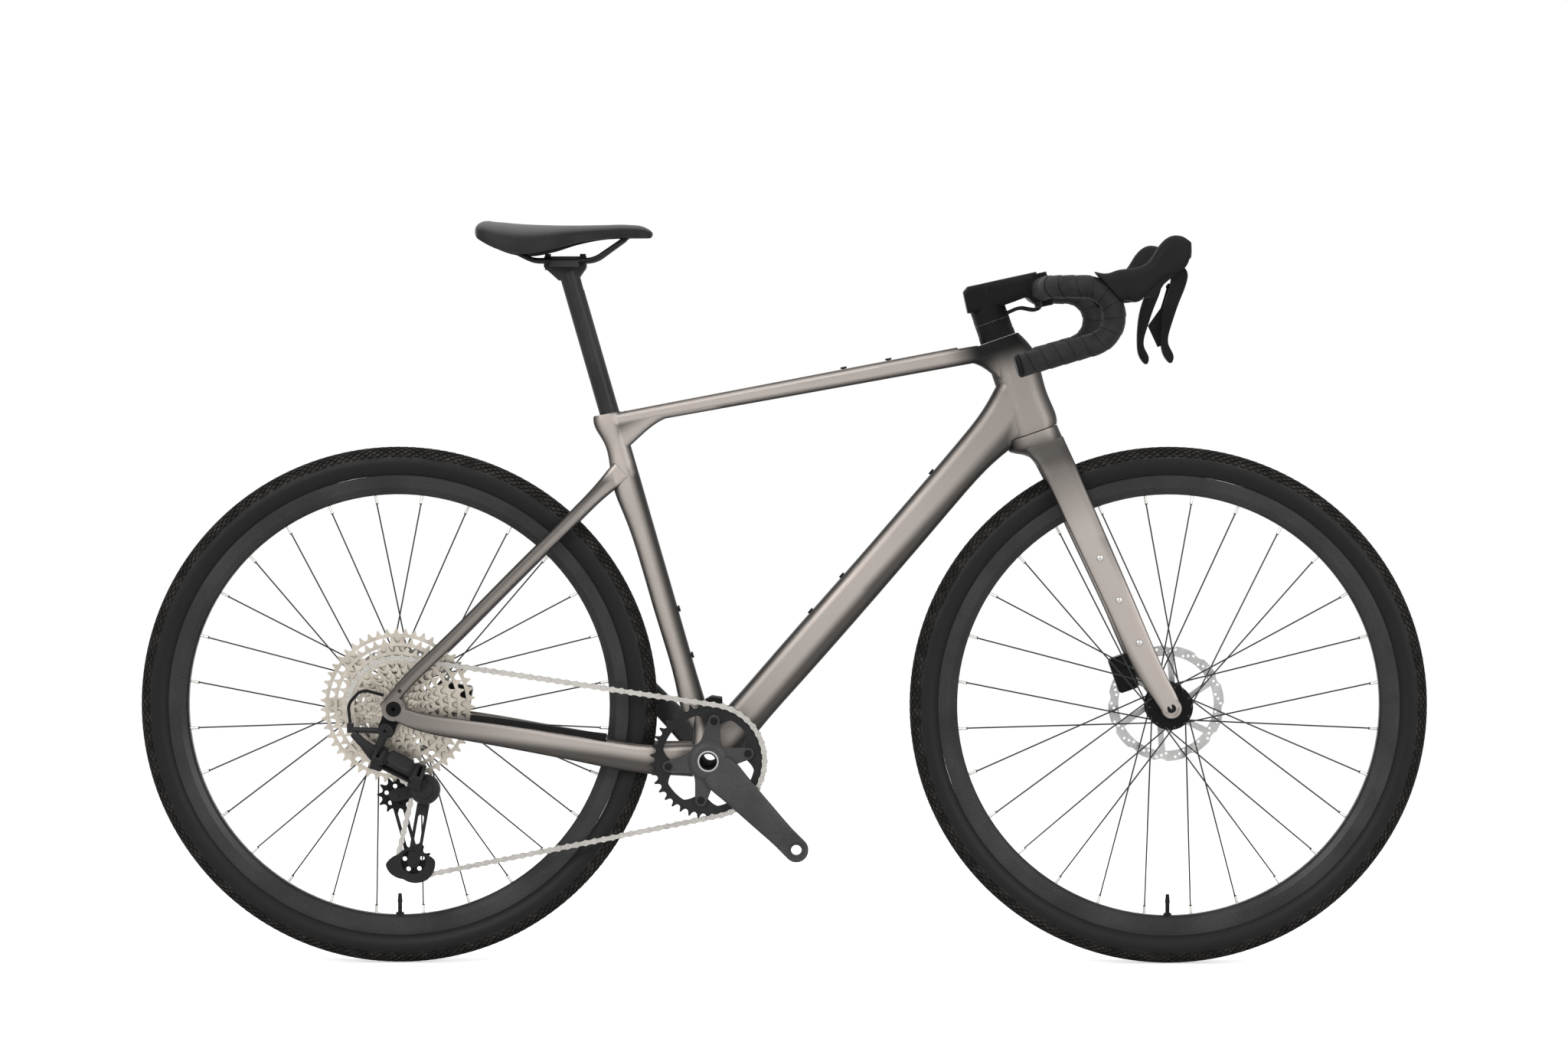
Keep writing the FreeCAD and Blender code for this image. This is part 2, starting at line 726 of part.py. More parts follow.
def tooth_face(teeth, phase, crest):
    """A toothed disc about the origin, with a roller seat at every pin angle."""
    pitch = pitch_radius(teeth)
    seat = 3.95
    tip = pitch + crest
    tip_half = 0.9 / tip
    spread = math.radians(60)
    edges = []
    previous = None
    first = None
    for index in range(teeth):
        angle = phase + 2 * math.pi * index / teeth
        pin = Vector(pitch * math.cos(angle), 0, pitch * math.sin(angle))

        def seat_at(offset, angle=angle, pin=pin):
            inward = angle + math.pi + offset
            return pin + Vector(math.cos(inward), 0, math.sin(inward)) * seat

        def tip_at(offset, angle=angle):
            return Vector(tip * math.cos(angle + offset), 0, tip * math.sin(angle + offset))

        half = math.pi / teeth
        start, bottom, end = seat_at(spread), seat_at(0), seat_at(-spread)
        if previous is not None:
            edges.append(Part.makeLine(previous, start))
        else:
            first = start
        edges.append(Part.Arc(start, bottom, end).toShape())
        rise, fall = tip_at(half - tip_half), tip_at(half + tip_half)
        edges.append(Part.makeLine(end, rise))
        edges.append(Part.makeLine(rise, fall))
        previous = fall
    edges.append(Part.makeLine(previous, first))
    return Part.Face(Part.Wire(edges))


def plate_of(face, low, high):
    """A flat face about the origin made into a plate across Y."""
    shape = face.copy()
    shape.translate(Vector(0, low, 0))
    return shape.extrude(Vector(0, high - low, 0))


def toothed_plate(centre, teeth, phase, crest, low, high):
    shape = plate_of(tooth_face(teeth, phase, crest), low, high)
    shape.translate(flat(centre, 0))
    return shape


# Chain drive: cog, chainring, tension pulley and guide pulley in the order the chain meets them
use_plane = cog_plane(COG_IN_USE)
ring_plane = -N.chain_line
guide = rear + Vector(-2.5, 0, -121.9)
cage_pivot = rear + Vector(40, 0, -112)
hanger_bolt = rear + Vector(-11, 0, -29.5)


def chain_loop(cage_angle):
    """Runs of the chain, each with its length counted in links."""
    tension = guide + Vector(math.cos(cage_angle), 0, math.sin(cage_angle)) * N.cage_length
    ring_teeth, pulley_teeth = int(N.chainring_teeth), int(N.pulley_teeth)
    wheels = [
        (rear, COG_IN_USE, -1, use_plane),
        (crank, ring_teeth, -1, ring_plane),
        (tension, pulley_teeth, -1, use_plane),
        (guide, pulley_teeth, 1, use_plane),
    ]
    headings = []
    for index in range(4):
        a, teeth_a, sense_a, side_a = wheels[index]
        b, teeth_b, sense_b, side_b = wheels[(index + 1) % 4]
        span = b - a
        swing = (sense_a * pitch_radius(teeth_a) - sense_b * pitch_radius(teeth_b)) / span.Length
        headings.append(math.atan2(span.z, span.x) + math.asin(swing))
    runs = []
    for index in range(4):
        centre, teeth, sense, side = wheels[index]
        arrive, leave = headings[index - 1], headings[index]
        sweep = (sense * (leave - arrive)) % (2 * math.pi)
        start = arrive - sense * math.pi / 2
        runs.append(("arc", centre, teeth, sense, side, start, sweep * teeth / (2 * math.pi)))
        after, after_teeth, after_sense, after_side = wheels[(index + 1) % 4]
        normal = Vector(math.sin(leave), 0, -math.cos(leave))
        begin = centre + normal * (sense * pitch_radius(teeth))
        finish = after + normal * (after_sense * pitch_radius(after_teeth))
        links = (finish - begin).Length / N.chain_pitch
        runs.append(("line", begin, finish, side, after_side, None, links))
    return tension, runs


def loop_links(cage_angle):
    return sum(run[-1] for run in chain_loop(cage_angle)[1])


def settle_cage():
    """The cage angle at which the loop is a whole, even number of links."""
    nominal = math.radians(-78.6)
    links = 2 * round(loop_links(nominal) / 2)
    low, high = nominal - 0.5, nominal + 0.5
    for _ in range(60):
        middle = (low + high) / 2
        if loop_links(middle) > links:
            low = middle
        else:
            high = middle
    return (low + high) / 2, int(links)


cage_angle, chain_links = settle_cage()
tension, chain_runs = chain_loop(cage_angle)


def ease(part):
    return part * part * (3 - 2 * part)


def chain_pins():
    """Every pin of the chain, and the angle of one pin on each toothed wheel."""
    pins = []
    phases = {}
    offset = 0.0
    index = 0
    for run in chain_runs:
        count = run[-1]
        while index < offset + count - 1e-9 and index < chain_links:
            part = index - offset
            if run[0] == "arc":
                _, centre, teeth, sense, side, start, _ = run
                angle = start + sense * part * 2 * math.pi / teeth
                radius = pitch_radius(teeth)
                pins.append(centre + Vector(radius * math.cos(angle), side, radius * math.sin(angle)))
                phases.setdefault(round(centre.x * 10 + centre.z), angle)
            else:
                _, begin, finish, side, after_side, _, _ = run
                point = begin + (finish - begin) * (part / count)
                share = min(max((part - 1) / (count - 2), 0.0), 1.0)
                pins.append(flat(point, side + (after_side - side) * ease(share)))
            index += 1
        offset += count
    return pins, phases


pins, phases = chain_pins()


def phase_of(centre):
    return phases[round(centre.x * 10 + centre.z)]


def link_plate(radius, low, high, bore):
    """One waisted side plate of a chain link, pins at the origin and one pitch ahead."""
    pitch = N.chain_pitch
    x, z = radius * 0.5, radius * math.sqrt(0.75)

    def at(u, v):
        return Vector(u, low, v)

    edges = [
        Part.Arc(at(x, z), at(-radius, 0), at(x, -z)).toShape(),
        Part.Arc(at(x, -z), at(pitch / 2, -radius * 0.68), at(pitch - x, -z)).toShape(),
        Part.Arc(at(pitch - x, -z), at(pitch + radius, 0), at(pitch - x, z)).toShape(),
        Part.Arc(at(pitch - x, z), at(pitch / 2, radius * 0.68), at(x, z)).toShape(),
    ]
    plate = Part.Face(Part.Wire(edges)).extrude(Vector(0, high - low, 0))
    if bore:
        for place in (0, pitch):
            plate = plate.cut(disc(Vector(place, 0, 0), bore, low - 1, high + 1))
    return plate


def make_chain():
    """A roller chain: outer links with riveted pins, inner links with rollers."""
    pitch = N.chain_pitch
    ends = (Vector(0, 0, 0), Vector(pitch, 0, 0))
    outer = link_plate(4.1, 1.85, 2.5, 0).fuse(
        [link_plate(4.1, -2.5, -1.85, 0)] + [disc(end, 1.75, -2.6, 2.6) for end in ends])
    inner = link_plate(4.0, 1.1, 1.75, 1.8).fuse(
        [link_plate(4.0, -1.75, -1.1, 1.8)] + [ring(end, 1.8, 3.8, -1.1, 1.1) for end in ends])
    links = []
    for index, start in enumerate(pins):
        end = pins[(index + 1) % len(pins)]
        ahead = unit(end - start)
        across = unit(Y_AXIS - ahead * Y_AXIS.dot(ahead))
        lift = ahead.cross(across)
        slip = ((end - start).Length - pitch) / 2
        start = start + ahead * slip
        frame = FreeCAD.Matrix(
            ahead.x, across.x, lift.x, start.x, ahead.y, across.y, lift.y, start.y,
            ahead.z, across.z, lift.z, start.z, 0, 0, 0, 1)
        link = (outer if index % 2 == 0 else inner).copy()
        link.Placement = FreeCAD.Placement(frame)
        links.append(link)
    keep("chain", Part.makeCompound(links))


def arc_window(inner, outer, middle, half):
    """A flat window between two radii about the origin."""
    def at(radius, angle):
        return Vector(radius * math.cos(angle), 0, radius * math.sin(angle))

    low, high = middle - half, middle + half
    edges = [
        Part.Arc(at(outer, low), at(outer, middle), at(outer, high)).toShape(),
        Part.makeLine(at(outer, high), at(inner, high)),
        Part.Arc(at(inner, high), at(inner, middle), at(inner, low)).toShape(),
        Part.makeLine(at(inner, low), at(outer, low)),
    ]
    return Part.Face(Part.Wire(edges))


def make_cassette():
    """Twelve cogs with spacers and a lockring, on the freehub body."""
    hole = 13.05
    thick = N.cog_thickness
    solids = []
    for teeth in COGS:
        plane = cog_plane(teeth)
        phase = phase_of(rear) if teeth == COG_IN_USE else 0.1 * teeth
        face = tooth_face(teeth, phase, 3.1)
        edge = pitch_radius(teeth) - 8.5
        cuts = [Part.Face(Part.Wire([Part.makeCircle(hole, Vector(), Y_AXIS)]))]
        if teeth >= 21:
            inner = 19.5 if teeth < 33 else 24
            count = 6 if teeth < 39 else 8
            half = math.pi / count * 0.72
            for step in range(count):
                cuts.append(arc_window(inner, edge, phase + 2 * math.pi * step / count, half))
        cog = plate_of(face.cut(cuts), plane - thick / 2, plane + thick / 2)
        cog.translate(flat(rear, 0))
        solids.append(cog)
    for teeth in COGS[1:]:
        plane = cog_plane(teeth)
        low = plane - N.cog_pitch + thick / 2
        high = plane - thick / 2
        solids.append(ring(rear, hole, 15.2 if teeth < 21 else 18, low, high))
    face = cog_plane(COGS[0]) - thick / 2
    solids.append(ring(rear, 9.2, 15.2, face - 2.6, face))
    keep("cassette", Part.makeCompound(solids))
    inner_end = cog_plane(COGS[-1]) + thick / 2
    tail = -20 - gap
    shell = ring(rear, 9, 13, face, tail)
    shell = shell.fuse(ring(rear, 9, 16.5, inner_end + 0.05, tail))
    bore = N.axle_radius + slack
    parts = [shell]
    for low in (face + 1, tail - 9):
        parts.append(ring(rear, bore, 9, low, low + 8))
    stop = gap - N.rear_span / 2
    parts.append(ring(rear, bore, 8.8, stop, face - 0.05))
    keep("freehub_body", Part.makeCompound(parts))


def polar_point(centre, radius, degrees, side=0.0):
    angle = math.radians(degrees)
    return Vector(centre.x + radius * math.cos(angle), side, centre.z + radius * math.sin(angle))


BOLT_TURNS = (55.5, 126.8, -126.8, -55.5)


def bolt_places(side):
    """The four chainring bolts, placed about the crank arm."""
    return [polar_point(crank, N.bolt_circle, turn_by - N.crank_angle, side) for turn_by in BOLT_TURNS]


def make_chainring():
    """A toothed ring with four tabs for its bolts."""
    teeth = int(N.chainring_teeth)
    ring_in = pitch_radius(teeth) - 13.5
    plate = toothed_plate(crank, teeth, phase_of(crank), 3.1, ring_plane - 0.95, ring_plane + 0.95)
    plate = plate.cut(disc(crank, ring_in, ring_plane - 2, ring_plane + 2))
    pieces = [ring(crank, ring_in, ring_in + 8, ring_plane - 1.7, ring_plane + 1.7)]
    for place in bolt_places(0):
        outside = crank + unit(place - crank) * (ring_in - 1)
        pieces.append(capsule(place, flat(outside, 0), 8, ring_plane - 1.7, ring_plane + 1.7))
    plate = plate.fuse(pieces)
    holes = [disc(place, 4.05, ring_plane - 3, ring_plane + 3) for place in bolt_places(0)]
    keep("chainring", plate.cut(holes))


def crank_arm(sign, degrees):
    """One crank arm from its boss to the pedal eye."""
    eye = polar_point(crank, N.crank_length, degrees)
    along = unit(flat(eye, 0) - flat(crank, 0))
    across = Vector(-along.z, 0, along.x)
    inner_face = N.shell_width / 2 + 2.6
    stations = [
        (0.00, inner_face + 8.5, 17, 38), (0.12, inner_face + 9.5, 17.5, 39),
        (0.30, inner_face + 13, 16.5, 36), (0.60, inner_face + 19, 14, 32),
        (0.85, inner_face + 22.3, 13, 31), (1.00, inner_face + 23, 13, 31),
    ]
    wires = []
    for share, side, thick, width in stations:
        centre = flat(crank, 0) + along * (N.crank_length * share) + Y_AXIS * (sign * side)
        wires.append(section(centre, across, Y_AXIS, width, thick, 5))
    tip = inner_face + 23
    low, high = sorted((sign * (tip - 6.5), sign * (tip + 6.5)))
    root_low, root_high = sorted((sign * inner_face, sign * (inner_face + 17)))
    body = loft(wires).fuse([disc(eye, 15.5, low, high), disc(crank, 20.5, root_low, root_high)])
    cuts = [
        disc(crank, N.spindle_radius + 0.02, root_low - 5, root_high + 5),
        disc(eye, N.pedal_thread_radius, low - 5, high + 5),
    ]
    face_low, face_high = sorted((sign * (tip + 5.5), sign * (tip + 8)))
    cuts.append(disc(eye, 10, face_low, face_high))
    return body, cuts


def make_cranks():
    """Both crank arms, the hollow spindle and the bolts."""
    arm, cuts = crank_arm(-1, -N.crank_angle)
    outer = ring_plane - 1.75
    spider = []
    for place in bolt_places(0):
        spider.append(capsule(flat(crank, 0), place, 8.5, outer - 5.5, outer))
    spider.append(disc(crank, 27, outer - 7, outer))
    cuts += [disc(place, 4.05, outer - 9, outer + 3) for place in bolt_places(0)]
    keep("crank_arm_right", arm.fuse(spider).cut(cuts))
    left, cuts = crank_arm(1, 180 - N.crank_angle)
    root = N.shell_width / 2 + 2.6
    away = Vector(math.cos(math.radians(-N.crank_angle)), 0, math.sin(math.radians(-N.crank_angle)))
    across = Vector(-away.z, 0, away.x)
    ear = box_along(crank + away * 21, away, across, 18, 26, root + 1.5, root + 15.5)
    slot = box_along(crank + away * 22, away, across, 26, 2.2, root - 4, root + 20)
    length = root + 17
    cuts.append(disc(crank, N.spindle_radius + 4.3, length, length + 8))
    pinch = []
    for side in (root + 5, root + 12):
        start = flat(crank + away * 24.5 - across * 13.5, side)
        cuts.append(rod(start - across * 2, start + across * 30, 2.05))
        pinch.append(rod(start, start + across * 26, 2).fuse(rod(start - across * 2.6, start, 3.2)))
    keep("crank_arm_left", left.fuse(ear).cut(cuts + [slot]))
    bolts = []
    for place in bolt_places(0):
        head = disc(place, 5.2, outer - 6.9, outer - 5.55).cut(hexagon(place, 4.5, outer - 8, outer - 6))
        bolts.append(head.fuse(disc(place, 4, outer - 5.6, ring_plane + 2)))
    cap = ring(crank, N.spindle_radius - 2.4, N.spindle_radius + 4, length + 0.1, length + 3)
    keep("crank_bolts", Part.makeCompound(bolts + pinch + [cap]))
    shaft = doc.addObject("Part::Cylinder", "crank_spindle_outside")
    bore = doc.addObject("Part::Cylinder", "crank_spindle_inside")
    bind(shaft, "Radius", R.spindle_radius)
    bind(bore, "Radius", R.spindle_radius - 1.7)
    bind(shaft, "Height", R.shell_width + 39)
    bind(bore, "Height", R.shell_width + 60)
    spin = FreeCAD.Rotation(Z_AXIS, Y_AXIS)
    shaft.Placement = FreeCAD.Placement(flat(crank, -N.shell_width / 2 - 19.5), spin)
    bore.Placement = FreeCAD.Placement(flat(crank, -N.shell_width / 2 - 30), spin)
    spindle = doc.addObject("Part::Cut", "crank_spindle")
    spindle.Base = shaft
    spindle.Tool = bore
    keep_object(spindle, "crank_spindle")


# Frame
down_head = crown + steer_up * 48
top_rear = crank + seat_up * (N.seat_tube_length - 8.4)
top_front = crown + steer_up * (N.head_tube_length - 13.3)
stay_top = crank + seat_up * (N.seat_tube_length - 91)
down_span = down_head - crank
down_along = unit(down_span)
down_up = Vector(-down_along.z, 0, down_along.x)
drop_left = N.rear_span / 2
drop_right = N.rear_span / 2 + 3
drop_thick = 8.0


def seatstay(sign, drop):
    """One dropped seatstay, bowed round the tyre."""
    clear = N.tyre_width / 2
    centre = drop + drop_thick / 2
    stations = [
        (0.00, -14.0, 11.5, 30, 19), (0.06, -14.5, 16.5, 24, 17), (0.12, -14.5, clear + 3, 19.8, 15),
        (0.19, -14.3, clear + 11.5, 18.8, 14), (0.27, -14.0, clear + 16.5, 18.4, 13.5),
        (0.35, -14.2, clear + 20, 18.4, 13), (0.64, -13.0, clear * 0.5 + centre * 0.62, 17.6, 12),
        (0.78, -13.0, clear * 0.15 + centre * 0.84, 17.4, 11), (0.93, -13.0, centre - 1, 17, 9),
        (1.02, -9.0, centre, 17, drop_thick - 0.6),
    ]
    return side_tube(stay_top, rear, [(f, o, sign * y, h, w) for f, o, y, h, w in stations], 6)


def chainstay(sign, drop):
    """One chainstay between the tyre and the chainring."""
    clear = N.tyre_width / 2
    centre = drop + drop_thick / 2
    stations = [
        (0.05, 6.0, 22, 44, 20), (0.11, 9.0, clear + 7, 42, 18), (0.17, 12.5, clear + 13.3, 40, 15.5),
        (0.25, 15.0, clear + 14, 38.6, 15), (0.40, 14.2, clear + 19, 36, 15),
        (0.60, 12.8, clear * 0.5 + centre * 0.52, 33, 14), (0.78, 12.6, centre - 12, 29.5, 12),
        (0.92, 11.0, centre - 1, 24.5, 9), (1.00, 3.0, centre, 22, drop_thick - 0.6),
    ]
    return side_tube(crank, rear, [(f, o, sign * y, h, w) for f, o, y, h, w in stations], 7)


def down_place(share, offset, side=0.0):
    """A point on the down tube, offset from its line."""
    return flat(crank + down_span * share + down_up * offset, side)


def bolt_seats():
    """Bottle bolts: foot on the tube and outward direction."""
    ahead = Vector(seat_up.z, 0, -seat_up.x)
    top_span = unit(top_front - top_rear)
    top_up = Vector(-top_span.z, 0, top_span.x)
    seats = []
    for share, height in ((0.375, 25.3), (0.475, 24.8), (0.764, 24.9)):
        seats.append((down_place(share, height), down_up))
    for share in (0.290, 0.425):
        seats.append((crank + seat_up * (N.seat_tube_length * share) + ahead * 15.4, ahead))
    for share, height in ((0.60, 11.6), (0.715, 12.0)):
        seats.append((top_rear + (top_front - top_rear) * share + top_up * height, top_up))
    return seats


def bonded_sections(frame):
    """The frame parted where its moulded sections are bonded: head, main tubes, seat tube, stays and dropouts."""
    ahead = Vector(seat_up.z, 0, -seat_up.x)
    wide = 200.0
    far = 2000.0
    middle = crank + seat_up * 300

    def seat_slab(low, high):
        return box_along(middle + ahead * ((low + high) / 2), ahead, seat_up, high - low, far, -wide, wide)

    head = box_along(Vector(N.head_bond + far / 2, 0, 600), X_AXIS, Z_AXIS, far, far, -wide, wide)
    ends = box_along(Vector(rear.x + N.dropout_bond - far / 2, 0, 600), X_AXIS, Z_AXIS, far, far, -wide, wide)
    main = seat_slab(N.seat_bond, far)
    seat = seat_slab(-N.stay_bond, N.seat_bond)
    stays = seat_slab(-far, -N.stay_bond)
    shapes = [
        frame.common(head), frame.common(main).cut(head), frame.common(seat),
        frame.common(stays).cut(ends), frame.common(ends),
    ]
    return Part.makeCompound([solid for shape in shapes for solid in shape.Solids])


def make_frame():
    """The frame with its bores, whole for what is fitted to it and kept as its bonded sections."""
    down_tube = plane_tube(crank, down_head, [
        (0.02, 28, -25, 58), (0.135, 26.2, -26.4, 55), (0.25, 26, -27.2, 52), (0.373, 25.6, -28.2, 50),
        (0.544, 24.6, -28.4, 49), (0.716, 24.8, -27.6, 48), (0.80, 25.0, -27.4, 48),
        (0.86, 25.6, -29.5, 48.5), (0.92, 27.5, -36, 49), (0.97, 33, -42, 49), (1.03, 33, -30, 47)], 13)
    top_tube = plane_tube(top_rear, top_front, [
        (0.0, 9.4, -10.2, 33.5), (0.14, 10.1, -10.6, 35), (0.36, 10.8, -11.4, 36.5),
        (0.60, 11.6, -12.2, 38.5), (0.85, 12.4, -12.8, 42), (0.99, 12.9, -13.2, 46)], 7)
    rear_gusset = plane_tube(top_rear, top_front, [
        (-0.005, 8.5, -50, 31), (0.037, 9.0, -37.5, 32), (0.081, 9.3, -22.5, 33.5),
        (0.14, 9.6, -10.0, 34)], 7)
    front_gusset = plane_tube(top_rear, top_front, [
        (0.89, 12.0, -12.4, 42), (0.935, 12.2, -16.5, 44), (0.962, 12.4, -30, 45), (0.985, 12.5, -46, 46)], 9)
    seat_tube = plane_tube(crank, seat_top, [
        (0.0, 20, -20, 44), (0.12, 17.5, -16.6, 38), (0.22, 16.7, -15.6, 35), (0.42, 16.6, -15.5, 34),
        (0.62, 17.0, -15.5, 34.5), (0.72, 20, -15.5, 36.5), (0.78, 23, -15.5, 39),
        (0.86, 20, -15.5, 37.5), (0.93, 18.6, -15.5, 35), (1.02, 18.3, -15.5, 34)], 14)
    head_tube = plane_tube(crown, head_top, [
        (0.0, 27, -37.5, 58), (0.25, 26, -39.5, 55), (0.55, 24.3, -41, 52), (0.79, 24.3, -40.4, 50.5),
        (0.93, 24.8, -33.5, 50), (1.0, 25.3, -28.5, 50)], 23)
    root = plane_tube(crank, crank + Vector(14, 0, 76), [
        (0.0, 26, -22, 60), (0.5, 29, -27, 54), (0.8, 34, -30, 46), (0.95, 37, -33, 40)], 13)
    solids = [top_tube, rear_gusset, front_gusset, seat_tube, head_tube, root]
    solids.append(disc(crank, N.shell_radius, -N.shell_width / 2, N.shell_width / 2))
    solids += [seatstay(1, drop_left), seatstay(-1, drop_right)]
    solids += [chainstay(1, drop_left), chainstay(-1, drop_right)]
    solids.append(disc(rear, 16.5, drop_left, drop_left + drop_thick))
    solids.append(disc(rear, 16.5, -drop_right - drop_thick, -drop_right))
    frame = down_tube.fuse(solids)
    cuts = []
    slope = unit(top_front - top_rear)
    lid = Vector(-slope.z, 0, slope.x)
    cap = seat_top + seat_up * 2
    cuts.append(box_along(cap + lid * 25, slope, lid, 120, 50, -40, 40))
    depth = N.post_insert + N.post_room
    cuts.append(Part.makeCylinder(N.post_radius + slack, depth + 45, seat_top - seat_up * depth, seat_up))
    cuts.append(disc(crank, N.shell_bore, -60, 60))
    cuts.append(disc(rear, N.axle_radius + 0.1, -120, 120))
    cuts.append(disc(rear, 10.3, -drop_right - drop_thick - 5, -drop_right - drop_thick + 3.3))
    cuts.append(disc(rear, 15.2, -drop_right, 40 - drop_right))
    cuts.append(capsule(rear, hanger_bolt, 12, -drop_right, 40 - drop_right))
    cuts.append(disc(rear, 15.2, drop_left - 40, drop_left))
    above = Part.makeCylinder(60, 40, head_top, steer_up)
    below = Part.makeCylinder(N.crown_radius + 1.6, 80, crown - steer_up * 80, steer_up)
    lower_seat = Part.makeCylinder(N.steerer_foot + 6.05, 12, crown - steer_up * 4, steer_up)
    upper_seat = Part.makeCylinder(N.steerer_radius + 6.65, 12, head_top - steer_up * 8, steer_up)
    hole = Part.makeCylinder(N.steerer_radius + 4, N.head_tube_length + 10, crown - steer_up * 5, steer_up)
    foot = Part.makeCone(N.steerer_foot + 3, N.steerer_radius + 4, 60, crown, steer_up)
    cuts += [above, below, lower_seat, upper_seat, hole, foot]
    for place, outward in bolt_seats():
        cuts.append(Part.makeCylinder(2.6, 16, place - outward * 11, outward))
    wedge = seat_top + Vector(seat_up.z, 0, -seat_up.x) * (N.post_radius + 5.2)
    cuts.append(Part.makeCylinder(6.1, 60, wedge - seat_up * 36, seat_up))
    boss = rear + Vector(8.6, 0, 24.4)
    cuts.append(disc(boss, 2.6, -drop_right - drop_thick - 3, -drop_right - drop_thick + 7))
    whole = frame.cut(cuts)
    keep("frame", bonded_sections(whole))
    return whole


def make_frame_fittings():
    """Bearings, cups, wedge, hanger, guard, bolts and the chain catcher."""
    half = N.shell_width / 2
    inner = N.spindle_radius + slack
    cups = []
    for low, high in ((half - 9, half + 2.2), (-half - 2.2, 9 - half)):
        cups.append(ring(crank, inner + 3.5, N.shell_bore - 0.03, low, high))
    for low, high in ((half + 0.05, half + 2.2), (-half - 2.2, -half - 0.05)):
        cups.append(ring(crank, N.shell_bore - 3, N.shell_bore + 3.5, low, high))
    bearings = [
        cups[0].fuse(cups[2]),
        cups[1].fuse(cups[3]),
        ring(crank, inner, inner + 3.45, half - 8, half - 0.5),
        ring(crank, inner, inner + 3.45, 0.5 - half, 8 - half),
        collar(crown + steer_up * 0.8, steer_up, N.steerer_foot + slack, N.steerer_foot + 6, 7),
        collar(head_top - steer_up * 7.6, steer_up, N.steerer_radius + slack, N.steerer_radius + 6.6, 7),
    ]
    keep("frame_bearings", Part.makeCompound(bearings))
    ahead = Vector(seat_up.z, 0, -seat_up.x)
    wedge_foot = seat_top + ahead * (N.post_radius + 5.2)
    wedge = Part.makeCylinder(6, 24, wedge_foot - seat_up * 30, seat_up)
    wedge = wedge.cut(Part.makeCylinder(N.post_radius + slack, 80, seat_top - seat_up * 60, seat_up))
    screw = Part.makeCylinder(4, 5.5, wedge_foot - seat_up * 6, seat_up)
    keep("seatpost_wedge", Part.makeCompound([wedge, screw]))
    low, high = -drop_right, -N.rear_span / 2
    plate = capsule(rear, hanger_bolt, 11.5, low, high).fuse(disc(rear, 14.5, low, high))
    plate = plate.cut([disc(rear, N.axle_radius + 0.1, -120, 0), disc(hanger_bolt, 5.05, -120, 0)])
    keep("derailleur_hanger", plate)
    bolts = []
    for place, outward in bolt_seats():
        head = Part.makeCylinder(4.4, 2.6, place + outward * 0.5, outward)
        dish = Part.makeCylinder(2.2, 3, place + outward * 1.6, outward)
        shank = Part.makeCylinder(2.5, 10.5, place - outward * 9.5, outward)
        bolts.append(head.fuse(shank).cut(dish))
    keep("bottle_bolts", Part.makeCompound(bolts))


def chain_catcher(frame_shape):
    """A small guide beside the chain above the chainring."""
    foot = crank + Vector(6, 0, 76)
    body = outline([(foot.x - 12, foot.z - 3), (foot.x + 13, foot.z - 3), (foot.x + 12, foot.z + 9),
                    (foot.x - 2, foot.z + 11), (foot.x - 11, foot.z + 6)], -45.5, -12)
    body = body.cut(frame_shape)
    return max(body.Solids, key=lambda solid: solid.Volume)


def make_chain_guards(frame_shape):
    """A guard strip on top of the right chainstay, and the chain catcher."""
    span = rear - crank
    along = unit(span)
    up = Vector(along.z, 0, -along.x)
    clear = N.tyre_width / 2
    centre = drop_right + drop_thick / 2
    stations = [
        (0.33, -13.2 + 19.5, clear + 17, 12, 9), (0.40, -14.2 + 19.2, clear + 19, 12, 10),
        (0.60, -12.8 + 17.8, clear * 0.5 + centre * 0.52, 11, 10), (0.76, -12.4 + 16.2, centre - 13, 10, 8.5),
    ]
    body = side_tube(crank, rear, [(f, -o, -y, h, w) for f, o, y, h, w in stations], 3)
    body = body.cut(frame_shape)
    strip = max(body.Solids, key=lambda solid: solid.Volume)
    keep("chain_guards", Part.makeCompound([strip, chain_catcher(frame_shape)]))


def fork_leg(sign):
    """One fork leg from inside the crown to its tip."""
    clear = N.tyre_width / 2
    tip = N.front_span / 2 + 6
    offset = N.fork_offset
    stations = [
        (0.058, 3.0, 13.5, 52, 24), (0.09, 10.0, 26, 53, 25), (0.125, 17.0, 36.5, 47, 22),
        (0.171, 20.0, clear + 20, 44.6, 19), (0.317, 25.6, clear + 22, 42.7, 17.5),
        (0.60, 36.1, (clear + 22) * 0.55 + tip * 0.45, 38.4, 15.5), (0.90, 47.4, tip - 0.6, 34, 12.6),
        (0.97, 53.0, tip, 30, 12), (1.005, offset, tip, 27, 12),
    ]
    end = crown - steer_up * N.axle_to_crown
    return side_tube(crown, end, [(f, o, sign * y, h, w) for f, o, y, h, w in stations], 8)


